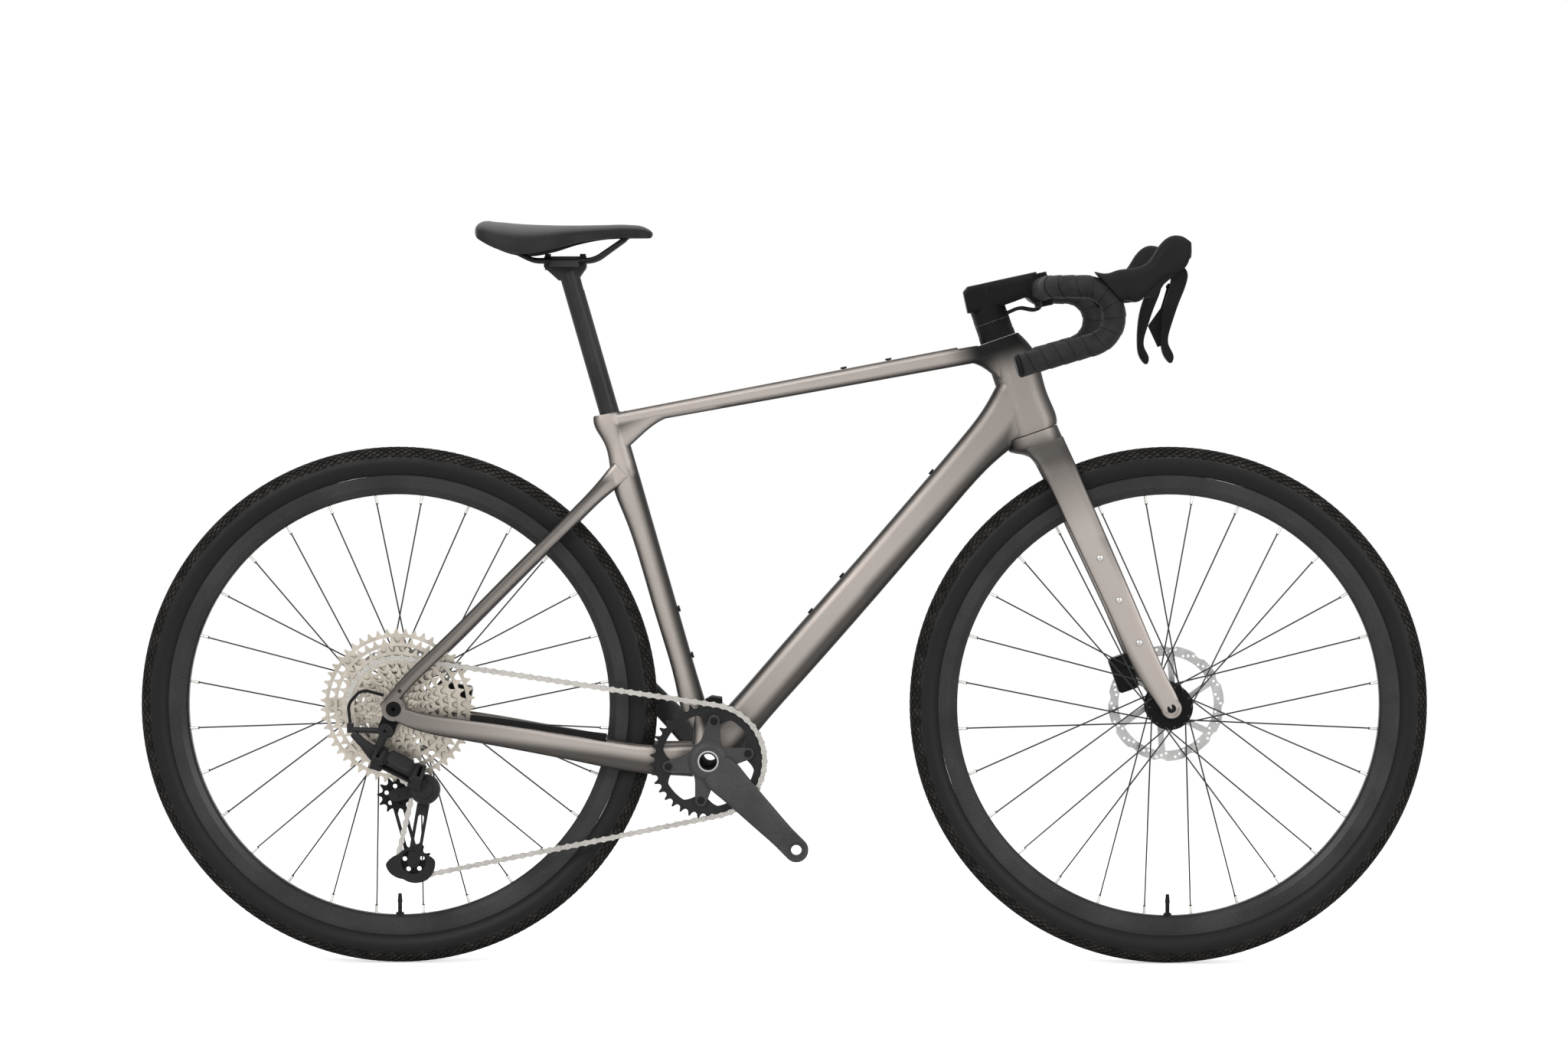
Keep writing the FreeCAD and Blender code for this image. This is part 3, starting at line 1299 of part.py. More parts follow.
def make_fork():
    """Crown, steerer, legs and tips in one piece."""
    neck = crown - steer_up * 20
    core = Part.makeCylinder(N.crown_radius, 19, neck, steer_up)
    chin = Part.makeCone(N.crown_radius - 7, N.crown_radius, 22, neck - steer_up * 22, steer_up)
    foot = Part.makeCone(N.steerer_foot, N.steerer_radius, 30, crown + steer_up * 9, steer_up)
    base = Part.makeCylinder(N.steerer_foot, 11, crown - steer_up * 1.5, steer_up)
    reach = N.head_tube_length + 0.5 + 4 * N.spacer_height + N.stem_height
    tube = Part.makeCylinder(N.steerer_radius, reach, crown - steer_up * 2, steer_up)
    half = N.front_span / 2
    tips = [disc(front, 14, half, half + 12), disc(front, 14, -half - 12, -half)]
    fork = core.fuse([chin, foot, base, tube, fork_leg(1), fork_leg(-1)] + tips)
    wheel = disc(front, N.tyre_radius + 9, -N.tyre_width / 2 - 7, N.tyre_width / 2 + 7)
    cuts = [wheel, disc(front, N.axle_radius + 0.1, -90, 90)]
    cuts.append(disc(front, 10.3, half + 12 - 2.2, half + 20))
    cuts.append(Part.makeCylinder(N.steerer_radius - 2.4, reach + 20, crown + steer_up * 40, steer_up))
    for place in fork_bosses():
        cuts.append(disc(place, 2.6, -90, -half + 1))
    shape = fork.cut(cuts)
    keep("fork", max(shape.Solids, key=lambda solid: solid.Volume))


def fork_point(share, fore):
    """A place in the side view of the fork leg, as a share of its length and depth."""
    ends = crown - steer_up * (N.axle_to_crown * share)
    return ends + steer_fore * fore


def fork_bosses():
    """Threaded holes in the outside of the right leg: open ones first."""
    return [fork_point(0.522, 33.2), fork_point(0.925, 49.5)]


# Seatpost and saddle
clamp_height = N.saddle_height - 49
clamp = crank + seat_up * ((clamp_height - crank.z) / seat_up.z)


def rail_groove():
    """The two rail channels of the clamp."""
    low = clamp - X_AXIS * 80
    places = (low + Y_AXIS * N.rail_spread, low - Y_AXIS * N.rail_spread)
    return [Part.makeCylinder(N.rail_radius + slack, 160, place, X_AXIS) for place in places]


def block(centre, length, width, low, high, corner):
    """An upright block with rounded corners, between two heights."""
    wire = section(Vector(centre.x, centre.y, low), X_AXIS, Y_AXIS, length, width, corner)
    return Part.Face(wire).extrude(Vector(0, 0, high - low))


def make_seatpost():
    """A round post with a two-bolt head, and the upper half of the clamp."""
    spread = N.rail_spread
    start = seat_top - seat_up * N.post_insert
    post = rod(start, clamp - seat_up * 16, N.post_radius)
    x, z = clamp.x, clamp.z
    head = outline([(x - 9, z - 27), (x + 17, z - 27), (x + 29, z - 9), (x + 29, z - 2), (x - 29, z - 2),
                    (x - 29, z - 9)], -11, 11)
    cradle = block(clamp, 40, 2 * spread + 14, z - 9, z - 0.4, 4)
    hollow = rod(start - seat_up * 5, clamp - seat_up * 45, N.post_radius - 2)
    bolts = [Vector(x - 24, 0, z - 40), Vector(x + 24, 0, z - 40)]
    holes = [Part.makeCylinder(2.6, 60, place, Z_AXIS) for place in bolts]
    sinks = [Part.makeCylinder(4.5, 30.3, place, Z_AXIS) for place in bolts]
    keep("seatpost", post.fuse([head, cradle]).cut(rail_groove() + holes + sinks + [hollow]))
    bridge = block(clamp, 58, 16, z + 0.6, z + 6, 4)
    wings = block(clamp, 36, 2 * spread + 14, z + 0.6, z + 5.2, 4)
    upper = bridge.fuse(wings).cut(rail_groove() + holes)
    screws = []
    for place in bolts:
        foot = Vector(place.x, 0, z - 12.5)
        shank = Part.makeCylinder(2.5, 22, foot, Z_AXIS)
        nut = Part.makeCylinder(4.2, 3.4, Vector(place.x, 0, z + 6.05), Z_AXIS)
        head = Part.makeCylinder(4.2, 3, foot - Z_AXIS * 0.2, Z_AXIS)
        screws.append(shank.fuse([nut, head]))
    keep("saddle_clamp", Part.makeCompound([upper] + screws))


def saddle_stations():
    """Share of the length from the tail, half width, top and skirt below the saddle height."""
    half = N.saddle_width / 2
    return [
        (0.012, 0.74 * half, 1.5, -18), (0.05, 0.86 * half, 4.6, -24), (0.13, 0.97 * half, 3.6, -34),
        (0.27, 1.00 * half, 0.8, -41), (0.42, 0.84 * half, -0.6, -36), (0.57, 0.53 * half, -0.8, -26),
        (0.72, 0.36 * half, -0.2, -19.5), (0.86, 0.29 * half, 0.2, -18), (0.95, 0.24 * half, -2.6, -18),
        (0.998, 0.13 * half, -10, -18),
    ]


def saddle_top_wire(x, half, top, skirt):
    """Cushion section: crowned top, round shoulders and a hollow underside."""
    rise = top - skirt

    def at(u, v):
        return Vector(x, u * half, v)

    shoulder = 0.62
    inner = 1 - 5.0 / half if half > 14 else 0.62
    under = skirt + 0.66 * rise
    edges = [
        Part.Arc(at(-1, skirt), at(-0.90, top - 0.34 * rise), at(-shoulder, top - 0.075 * rise)).toShape(),
        Part.Arc(at(-shoulder, top - 0.075 * rise), at(0, top), at(shoulder, top - 0.075 * rise)).toShape(),
        Part.Arc(at(shoulder, top - 0.075 * rise), at(0.90, top - 0.34 * rise), at(1, skirt)).toShape(),
        Part.makeLine(at(1, skirt), at(inner, skirt)),
        Part.Arc(at(inner, skirt), at(0, under), at(-inner, skirt)).toShape(),
        Part.makeLine(at(-inner, skirt), at(-1, skirt)),
    ]
    return Part.Wire(edges)


def saddle_shell_wire(x, half, top, skirt):
    """Base section: a bowed strip just below the cushion."""
    rise = top - skirt
    inner = (1 - 5.0 / half if half > 14 else 0.62) * half
    under = skirt + 0.66 * rise

    def at(u, v):
        return Vector(x, u, v)

    thick = 2.6
    edges = [
        Part.Arc(at(-inner + 0.6, skirt), at(0, under - 0.4), at(inner - 0.6, skirt)).toShape(),
        Part.makeLine(at(inner - 0.6, skirt), at(inner - 3.6, skirt)),
        Part.Arc(at(inner - 3.6, skirt), at(0, under - thick), at(-inner + 3.6, skirt)).toShape(),
        Part.makeLine(at(-inner + 3.6, skirt), at(-inner + 0.6, skirt)),
    ]
    return Part.Wire(edges)


def make_saddle():
    """Cushion, base and rails."""
    tail = clamp.x - 0.506 * N.saddle_length
    base = N.saddle_height
    cushion, shell = [], []
    for share, half, top, skirt in saddle_stations():
        x = tail + share * N.saddle_length
        cushion.append(saddle_top_wire(x, half, base + top, base + skirt))
        if 0.03 < share < 0.9:
            shell.append(saddle_shell_wire(x, half, base + top, base + skirt))
    keep("saddle_padding", loft(cushion))
    spread = N.rail_spread
    z = clamp.z
    nose = clamp.x + 0.335 * N.saddle_length
    back = clamp.x - 0.385 * N.saddle_length
    rails, sockets, seats = [], [], []
    for sign in (1, -1):
        line = [
            Vector(nose, sign * 7.5, base - 20), Vector(clamp.x + 40, sign * spread, z),
            Vector(clamp.x - 44, sign * spread, z), Vector(back, sign * (spread + 9), base - 24),
        ]
        rails.append(pipe(path(line, [34, 34]), N.rail_radius))
        seats.append(pipe(path(line, [34, 34]), N.rail_radius + slack))
        sockets.append(rod(line[0] - X_AXIS * 6, line[0] + Vector(3, 0, 7), 6.5))
        sockets.append(rod(line[3] + Vector(4, 0, -1), line[3] + Vector(-2, 0, 8), 6.5))
    body = loft(shell).fuse(sockets).cut(seats).cut(loft(cushion))
    solids = [solid for solid in body.Solids if solid.Volume > 300]
    keep("saddle_shell", Part.makeCompound(solids) if len(solids) > 1 else solids[0])
    keep("saddle_rails", Part.makeCompound(rails))


# Cockpit
stem_foot = crown + steer_up * (N.head_tube_length + 0.4 + 4 * N.spacer_height)
stem_mid = stem_foot + steer_up * (N.stem_height / 2)
stem_along = turn(steer_fore, N.stem_fall, Y_AXIS)
stem_lift = Vector(-stem_along.z, 0, stem_along.x)
bar = stem_mid + stem_along * N.stem_length


def make_stem():
    """Spacers, stem, faceplate, bolts and top cap."""
    solids = []
    for index in range(4):
        start = head_top + steer_up * (0.4 + index * N.spacer_height)
        outer = N.spacer_radius if index else N.spacer_radius + 0.6
        solids.append(collar(start, steer_up, N.steerer_radius + 0.05, outer, N.spacer_height - 0.05))
    keep("headset_spacers", Part.makeCompound(solids))
    half = 23.0
    barrel = Part.makeCylinder(N.spacer_radius - 0.3, N.stem_height, stem_foot, steer_up)
    places = [stem_mid - stem_along * 27, stem_mid - stem_along * 20, stem_mid + stem_along * 32,
              bar - stem_along * 24, bar - stem_along * 2]
    sizes = [(5.0, 37, 30), (6.9, 49, 37.4), (8.4, 45, 34.6), (10.0, 45, 31.4), (3.0, 2 * half, 45.4)]
    wires = [section(place + stem_lift * rise, Y_AXIS, stem_lift, wide, tall, 8)
             for place, (rise, wide, tall) in zip(places, sizes)]
    arm = loft(wires[:2], True).fuse([loft(wires[1:4]), loft(wires[3:], True)])
    grip = disc(bar, N.bar_clamp_radius + 5.3, -half, half)
    ears = box_along(bar, stem_along, stem_lift, 17, 46, -half, half)
    whole = barrel.fuse([arm, grip, ears])
    bores = [
        Part.makeCylinder(N.steerer_radius + 0.02, 140, stem_foot - steer_up * 40, steer_up),
        disc(bar, N.bar_clamp_radius + 0.03, -40, 40),
    ]
    under = Part.makeCylinder(N.spacer_radius + 0.5, 30, stem_foot - steer_up * 30, steer_up)
    recess = Part.makeCylinder(17.25, 30, stem_foot + steer_up * N.stem_height, steer_up)
    holes, seats, bolts = [], [], []
    for lift in (-19.6, 19.6):
        for side in (-15, 15):
            start = flat(bar + stem_lift * lift, side)
            holes.append(rod(start - stem_along * 14, start + stem_along * 30, 2.05))
            seats.append(rod(start + stem_along * 8.5, start + stem_along * 24, 3.8))
            shank = rod(start - stem_along * 12, start + stem_along * 8, 2)
            head = rod(start + stem_along * 8.55, start + stem_along * 11.5, 3.6)
            neck = rod(start + stem_along * 8, start + stem_along * 8.6, 2)
            bolts.append(shank.fuse([neck, head]))
    fore = box_along(bar + stem_along * 30.3, stem_along, stem_lift, 60, 80, -60, 60)
    keep("stem", whole.cut(bores + holes + [fore, under, recess]))
    aft = box_along(bar - stem_along * 29.2, stem_along, stem_lift, 60, 80, -60, 60)
    plate = grip.fuse(ears).cut(bores + holes + seats + [aft])
    keep("stem_faceplate", plate)
    top = stem_foot + steer_up * (N.stem_height + 0.1)
    lid = Part.makeCylinder(17, 4, top, steer_up)
    lid = lid.cut(Part.makeCylinder(4, 3, top + steer_up * 2, steer_up))
    keep("stem_bolts", Part.makeCompound(bolts + [lid]))


drop_rise = 16.5
bend = 45.0
tape_start = 50.0


def bar_path(start_side, end_trim):
    """The right half of the handlebar: top, ramp, hook and lower grip."""
    bx, bz, side = bar.x, bar.z, N.bar_half_width
    lean = math.radians(N.bar_flare)
    down = Vector(0, -math.sin(lean), -math.cos(lean))
    round_off = bend * (1 - math.sqrt(0.5))
    tip = math.radians(drop_rise)
    radius = N.hook_radius
    hook_top = Vector(bx + N.bar_reach - radius, -side, bz)
    centre = hook_top + down * radius
    finish = centre + X_AXIS * (radius * math.sin(tip)) + down * (radius * math.cos(tip))
    back = X_AXIS * -math.cos(tip) + down * math.sin(tip)
    edges = [
        Part.makeLine(Vector(bx, -start_side, bz), Vector(bx, bend - side, bz)),
        Part.Arc(Vector(bx, bend - side, bz), Vector(bx + round_off, round_off - side, bz),
                 Vector(bx + bend, -side, bz)).toShape(),
        Part.makeLine(Vector(bx + bend, -side, bz), hook_top),
        Part.Arc(hook_top, centre + X_AXIS * radius, finish).toShape(),
        Part.makeLine(finish, finish + back * (N.drop_length - end_trim)),
    ]
    return Part.Wire(edges), finish + back * N.drop_length, back


def make_handlebar():
    """Drop handlebar with tape and end plugs."""
    half_wire, end, back = bar_path(0, 0)
    half = pipe(half_wire, N.bar_radius)
    core = Part.makeCylinder(N.bar_clamp_radius, 60, Vector(bar.x, -30, bar.z), Y_AXIS)
    cone = Part.makeCone(N.bar_clamp_radius, N.bar_radius, 18, Vector(bar.x, -30, bar.z), -Y_AXIS)
    whole = core.fuse([half, mirrored(half), cone, mirrored(cone)])
    keep("handlebar", whole)
    tape_wire, _, _ = bar_path(tape_start, 1)
    inside = pipe(bar_path(tape_start - 10, -10)[0], N.bar_radius + 0.02)
    tape = pipe(tape_wire, N.tape_radius).cut(inside)
    keep("bar_tape", Part.makeCompound([tape, mirrored(tape)]))
    plug = rod(end + back * 0.1, end + back * 3, N.tape_radius)
    plug = plug.fuse(Part.makeCone(N.tape_radius, N.tape_radius - 3, 3, end + back * 3, back))
    keep("bar_end_plugs", Part.makeCompound([plug, mirrored(plug)]))


lever_side = N.bar_half_width + 2
pivot = bar + Vector(145, 0, 18)


def hood_sections():
    """Top and bottom of the hood in the side view, from the bar, and its width."""
    return [
        ((59, 20), (97, -22), 35), ((88, 21), (112, -21), 36.5), ((112, 24.5), (128, -13), 37),
        ((132, 34), (147, 4), 36.5), ((143, 51), (168, 15), 35), ((154, 63), (183, 27), 33.5),
        ((166, 67.5), (188, 46), 30), ((176, 66), (187.5, 58), 22),
    ]


def make_lever_set():
    """Hoods, brackets and levers; the right lever also shifts."""
    side = -lever_side
    wires = []
    for top, bottom, width in hood_sections():
        high = Vector(bar.x + top[0], side, bar.z + top[1])
        low = Vector(bar.x + bottom[0], side, bar.z + bottom[1])
        wires.append(section((high + low) / 2, Y_AXIS, unit(high - low), width, (high - low).Length, 13))
    hood = loft(wires)

    def shift(points):
        return [(bar.x + x, bar.z + z) for x, z in points]

    cheek = outline(shift([(121, -15), (118, 0), (132, 20), (156, 32), (166, 28), (164, 14), (151, 3),
                           (140, -13)]), side - 13, side + 13)
    slot = outline(shift([(134, -24), (134, 33), (172, 40), (200, 32), (200, -24)]), side - 9.3, side + 9.3)
    roll = pipe(bar_path(tape_start, 1)[0], N.tape_radius + 0.15)
    hood = hood.cut([roll, cheek, slot])
    hood = max(hood.Solids, key=lambda solid: solid.Volume)
    pin = disc(pivot, 2.5, side - 13, side + 13)
    bracket = cheek.cut(slot).fuse(pin)
    keep("lever_hoods", Part.makeCompound([hood, mirrored(hood)]))
    keep("lever_brackets", Part.makeCompound([bracket, mirrored(bracket)]))
    eye = disc(pivot, 7.5, side - 8.6, side + 8.6)
    pin_hole = disc(pivot, 2.5 + slack, side - 20, side + 20)
    nose_start = Vector(pivot.x, side, pivot.z)
    nose = Part.makeCylinder(4.5, 31, nose_start, X_AXIS)
    keep("right_lever_carrier", eye.fuse(nose).cut(pin_hole))
    blade_line = [
        (161, 14), (157.5, -5), (152.5, -21), (148, -48), (147.5, -75), (154, -96), (161, -101), (164, -96),
        (158, -78), (160.8, -52), (172, -19), (181, 5), (181.5, 20), (176, 26), (166, 25),
    ]
    blade = smooth_outline(shift(blade_line), side - 6, side + 6)
    hub_at = Vector(bar.x + 161, side, pivot.z)
    hub = Part.makeCylinder(8.6, 16, hub_at, X_AXIS)
    lug_foot = Vector(bar.x + 166.5, side + 5.5, bar.z - 5)
    lug = Part.makeBox(5, 8.5, 9, lug_foot)
    stub = Part.makeCylinder(2, 12, Vector(bar.x + 155, side + 10.5, bar.z), X_AXIS)
    bore = Part.makeCylinder(4.5 + slack, 24, Vector(bar.x + 153, side, pivot.z), X_AXIS)
    keep("right_brake_lever", blade.fuse([hub, lug, stub]).cut(bore))
    paddle = outline(shift([(157, 3), (165.8, 3), (164, -20), (158, -45), (149, -78), (144, -80), (131, -52),
                            (148, -28), (152, -15)]), side + 6.6, side + 9.4)
    knuckle = Part.makeCylinder(4.4, 8.9, Vector(bar.x + 157, side + 10.5, bar.z), X_AXIS)
    knuckle = knuckle.cut(Part.makeBox(60, 8, 60, Vector(bar.x + 140, side - 1.4, bar.z - 30)))
    stub_hole = Part.makeCylinder(2 + slack, 40, Vector(bar.x + 140, side + 10.5, bar.z), X_AXIS)
    keep("right_shift_paddle", paddle.fuse(knuckle).cut(stub_hole))
    plain = blade.fuse([hub, eye, nose]).cut(pin_hole)
    keep("left_brake_lever", mirrored(plain))


# Rear derailleur: a slanted parallelogram between the hanger and the pulley cage
link_fore = unit(Vector(0.95, 0, -0.31))
slant = Vector(0, math.sqrt(0.5), -math.sqrt(0.5))
link_in = unit(slant - link_fore * slant.dot(link_fore))
link_axis = link_fore.cross(link_in)
travel_in = cog_plane(COGS[-1]) - use_plane
travel_out = use_plane - cog_plane(COGS[0])
half_swing = (travel_in + travel_out) / (2 * N.link_length * link_in.y)
rest_swing = math.asin(half_swing - travel_in / (N.link_length * link_in.y))
link_along = link_fore * math.cos(rest_swing) + link_in * math.sin(rest_swing)
outer_root = Vector(rear.x - 15, -84, rear.z - 63.5)
link_apart = link_in * 14
inner_root = outer_root + link_apart
outer_end = outer_root + link_along * N.link_length
inner_end = outer_end - outer_root + inner_root
link_half = 9.0
plate_out = use_plane - 3.6
plate_in = use_plane + 3.6


def slab(corners, axis, low, high):
    """A plate square to an axis, from its corner points."""
    points = [corner + axis * low for corner in corners]
    points.append(points[0])
    return Part.Face(Part.makePolygon(points)).extrude(axis * (high - low))


def pivot_pin(place, radius, half):
    return rod(place - link_axis * half, place + link_axis * half, radius)


def make_link(name, start, end, thick):
    """One arm of the parallelogram with an eye at each end."""
    across = unit(link_axis.cross(end - start)) * (thick / 2)
    web = slab([start - across, end - across, end + across, start + across], link_axis, -link_half, link_half)
    body = web.fuse([pivot_pin(start, 4.8, link_half), pivot_pin(end, 4.8, link_half)])
    holes = [pivot_pin(start, 2 + slack, 20), pivot_pin(end, 2 + slack, 20)]
    keep(name, body.cut(holes))


def knuckle_ears(first, second, away):
    """Two ear plates with pins for both arms, joined by a bridge on the far side."""
    middle = (first + second) / 2
    wide = unit(second - first) * ((second - first).Length / 2 + 5.2)
    pieces = []
    reach = away * 12.5
    for low, high in ((link_half + gap, link_half + 3.6), (-link_half - 3.6, -link_half - gap)):
        corners = [middle - wide, middle + wide, middle + wide + reach, middle - wide + reach]
        pieces.append(slab(corners, link_axis, low, high))
        for place in (first, second):
            pieces.append(rod(place + link_axis * low, place + link_axis * high, 5.2))
    near = away * 8
    corners = [middle - wide + near, middle + wide + near, middle + wide + reach, middle - wide + reach]
    pieces.append(slab(corners, link_axis, -link_half - 3.6, link_half + 3.6))
    for place in (first, second):
        pieces.append(pivot_pin(place, 2, link_half + 3))
    return pieces, middle + away * 10.2


def make_derailleur():
    """Knuckles, arms, cage and pulleys."""
    ears, bridge = knuckle_ears(outer_root, inner_root, -link_fore)
    outer_face = -drop_right - gap
    boss = disc(hanger_bolt, 10, outer_face - 12, outer_face)
    bolt = disc(hanger_bolt, 5, outer_face - 13, -N.rear_span / 2 + 0.2)
    socket = hexagon(hanger_bolt, 5, outer_face - 15, outer_face - 8)
    arm = rod(flat(hanger_bolt, outer_face - 6.5), bridge, 6)
    stop = rear + Vector(-59, -80, -28)
    bracket = rod(flat(hanger_bolt, outer_face - 6.5), stop, 4)
    barrel = Part.makeCylinder(4.6, 13, stop - Z_AXIS * 4, Z_AXIS)
    beside = disc(hanger_bolt, 12.2, outer_face, 40 + outer_face)
    body = boss.fuse(ears + [arm, bracket, barrel]).cut(beside).fuse(bolt).cut(socket)
    clear = [pivot_pin(outer_root, 5.1, link_half + gap), pivot_pin(inner_root, 5.1, link_half + gap)]
    keep_pins = [pivot_pin(outer_root, 2, link_half + 3), pivot_pin(inner_root, 2, link_half + 3)]
    body = body.cut(clear).fuse(keep_pins)
    keep("derailleur_b_knuckle", body)
    make_link("derailleur_outer_link", outer_root, outer_end, 6.4)
    make_link("derailleur_inner_link", inner_root, inner_end, 4.4)
    ears, bridge = knuckle_ears(outer_end, inner_end, link_fore)
    face = plate_out - 1.8 - gap
    drum = disc(cage_pivot, 15, face - 19, face)
    arm = rod(bridge, flat(cage_pivot, face - 9.5), 6.5)
    body = drum.fuse(ears + [arm])
    clear = [pivot_pin(outer_end, 5.1, link_half + gap), pivot_pin(inner_end, 5.1, link_half + gap)]
    keep_pins = [pivot_pin(outer_end, 2, link_half + 3), pivot_pin(inner_end, 2, link_half + 3)]
    body = body.cut(clear).fuse(keep_pins)
    keep("derailleur_p_knuckle", body.cut(disc(cage_pivot, 5 + slack, face - 13, face + 5)))
    outer = capsule(cage_pivot, tension, 8.5, plate_out - 1.8, plate_out)
    outer = outer.fuse([capsule(cage_pivot, guide, 8.5, plate_out - 1.8, plate_out),
                        disc(cage_pivot, 14, plate_out - 1.8, plate_out)])
    middle = cage_pivot + (tension - cage_pivot) * 0.40
    far = cage_pivot + (tension - cage_pivot) * 0.72
    outer = outer.cut(capsule(flat(middle, 0), flat(far, 0), 4, plate_out - 9, plate_out + 3))
    inner = capsule(guide, tension, 8.5, plate_in, plate_in + 1.5)
    near = guide + (tension - guide) * 0.25
    far = guide + (tension - guide) * 0.75
    inner = inner.cut(capsule(flat(near, 0), flat(far, 0), 4, plate_in - 3, plate_in + 5))
    spindle = disc(cage_pivot, 5, face - 12, plate_out)
    bolts = [disc(place, 2.5, plate_out - 2.6, plate_in + 1.9) for place in (guide, tension)]
    heads = [disc(place, 4.6, plate_out - 3, plate_out - 1.7) for place in (guide, tension)]
    keep("derailleur_cage", outer.fuse([inner, spindle] + bolts + heads))
    teeth = int(N.pulley_teeth)
    for name, centre in (("guide_pulley", guide), ("tension_pulley", tension)):
        phase = phase_of(centre)
        wheel = toothed_plate(centre, teeth, phase, 2.6, use_plane - 0.95, use_plane + 0.95)
        wheel = wheel.fuse(disc(centre, 7.5, use_plane - 3.3, use_plane + 3.3))
        windows = []
        for step in range(5):
            place = polar_point(centre, 12.6, 72 * step + 20)
            windows.append(disc(place, 3.1, use_plane - 5, use_plane + 5))
        keep(name, wheel.cut(windows + [disc(centre, 2.5 + slack, use_plane - 9, use_plane + 9)]))


def make_caliper(name, axle, plane, up, fore, reach):
    """A two-piston brake caliper open towards the axle, with its pads."""
    low, high = reach
    wide = 12.4
    slim = 8.0
    centre = axle + up * ((low[0] + high[0]) / 2) + fore * ((low[1] + high[1]) / 2)
    body = box_along(centre, up, fore, high[0] - low[0], high[1] - low[1], plane - slim, plane + wide)
    edges = [edge for edge in body.Edges if abs(edge.tangentAt(edge.FirstParameter).y) > 0.9]
    body = body.makeFillet(5, edges)
    slot = disc(axle, N.rotor_radius + 2.5, plane - 2.7, plane + 2.7)
    fins = [disc(centre, 7.5, plane + wide - 0.5, plane + wide + 1.6),
            disc(centre, 7.5, plane - slim - 1.6, plane - slim + 0.5)]
    body = body.fuse(fins).cut(slot)
    away = unit(flat(centre, 0) - flat(axle, 0))
    across = Vector(-away.z, 0, away.x)
    spot = axle + away * (N.rotor_radius - 9)
    thin = N.rotor_thickness / 2
    pads = [
        box_along(spot, away, across, 14, 24, plane + thin + gap, plane + 2.65),
        box_along(spot, away, across, 14, 24, plane - 2.65, plane - thin - gap),
    ]
    keep(name, Part.makeCompound([body] + pads))


def make_brakes():
    """Front caliper behind the left fork leg, rear caliper on the left chainstay."""
    span = N.fork_offset
    make_caliper("front_caliper", front, N.front_rotor_plane, steer_up, steer_fore,
                 ((34, -span - 1), (84, -27.4)))
    stay = unit(crank - rear)
    stay_up = Vector(-stay.z, 0, stay.x)
    make_caliper("rear_caliper", rear, N.rear_rotor_plane, stay, stay_up, ((44, 7.2), (92, 37)))


def make_cables():
    """The shift housing loop at the rear and the two hoses under the stem."""
    side = -drop_right - drop_thick / 2
    start = rear + Vector(-13.6, side, 18.6)
    line = [
        start, rear + Vector(-44, side - 1, 27), rear + Vector(-62, side - 2, 6),
        rear + Vector(-59, -80, -18.6),
    ]
    loop = pipe(path(line, [17, 17]), 2.2)
    keep("shift_housing", loop)
    hoses = []
    cover = Part.makeCylinder(N.spacer_radius + slack, 40, head_top - steer_up * 5, steer_up)
    for sign in (1, -1):
        end = stem_foot - steer_up * (0.5 * N.spacer_height) + steer_fore * (N.spacer_radius - 5)
        line = [
            Vector(bar.x - 5, sign * (tape_start - 1.2), bar.z - 14.8),
            flat(bar - stem_along * 6 - stem_lift * 29, sign * (tape_start - 22)),
            flat(bar - stem_along * 34 - stem_lift * 17, sign * 11), flat(end, sign * 9),
        ]
        hoses.append(pipe(path(line, [20, 20]), 2.5).cut(cover))
    keep("steering_hoses", Part.makeCompound(hoses))


make_wheels()
make_axles()
make_chain()
make_cassette()
make_chainring()
make_cranks()
frame_shape = make_frame()
make_frame_fittings()
make_chain_guards(frame_shape)
make_fork()
make_seatpost()
make_saddle()
make_stem()
make_handlebar()
make_lever_set()
make_derailleur()
make_brakes()
make_cables()
doc.recompute()

for item in doc.Objects:
    if "Invalid" in item.State or "Error" in item.State:
        raise RuntimeError("not built: " + item.Name)
os.makedirs("parts", exist_ok=True)
for item in nodes:
    if item.Shape.isNull() or not item.Shape.isValid() or item.Shape.Volume <= 0:
        raise RuntimeError("bad shape: " + item.Label)
    item.Shape.exportStep("parts/%s.step" % item.Label)
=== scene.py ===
"""Looks of the gravel bike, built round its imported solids.

Most solids keep their shape and get a finish. The tyres, the bar tape, the hoods, the saddle cushion, the
fork and the right crank are surfaces that stand for their solids, and covers sit on the derailleur and the
top tube. Lengths are in metres, with X forward, Y to the left and Z up.
"""
import logging
import math
from collections.abc import Sequence
from dataclasses import dataclass
from enum import Enum

import bmesh
import bpy
import numpy as np
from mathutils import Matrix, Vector


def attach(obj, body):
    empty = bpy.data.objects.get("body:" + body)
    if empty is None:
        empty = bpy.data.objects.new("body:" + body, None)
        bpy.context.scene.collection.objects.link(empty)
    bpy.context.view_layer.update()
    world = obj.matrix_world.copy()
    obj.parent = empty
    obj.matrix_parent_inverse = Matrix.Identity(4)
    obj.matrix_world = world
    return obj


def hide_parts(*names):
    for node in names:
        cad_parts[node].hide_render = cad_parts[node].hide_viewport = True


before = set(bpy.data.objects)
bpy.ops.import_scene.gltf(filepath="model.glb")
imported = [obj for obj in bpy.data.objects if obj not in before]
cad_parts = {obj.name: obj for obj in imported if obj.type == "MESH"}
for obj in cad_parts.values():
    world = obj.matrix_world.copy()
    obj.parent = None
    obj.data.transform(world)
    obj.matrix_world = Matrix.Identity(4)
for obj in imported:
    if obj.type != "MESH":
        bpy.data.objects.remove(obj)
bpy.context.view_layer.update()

LOG = logging.getLogger("bike")
MM = 0.001
TURN = 2.0 * math.pi
RIGHT = np.array([0.0, -1.0, 0.0])
AXLE_HEIGHT = 0.3555
STEER_UP = (-0.3297, 0.0, 0.9441)
STEER_FORE = (0.9441, 0.0, 0.3297)
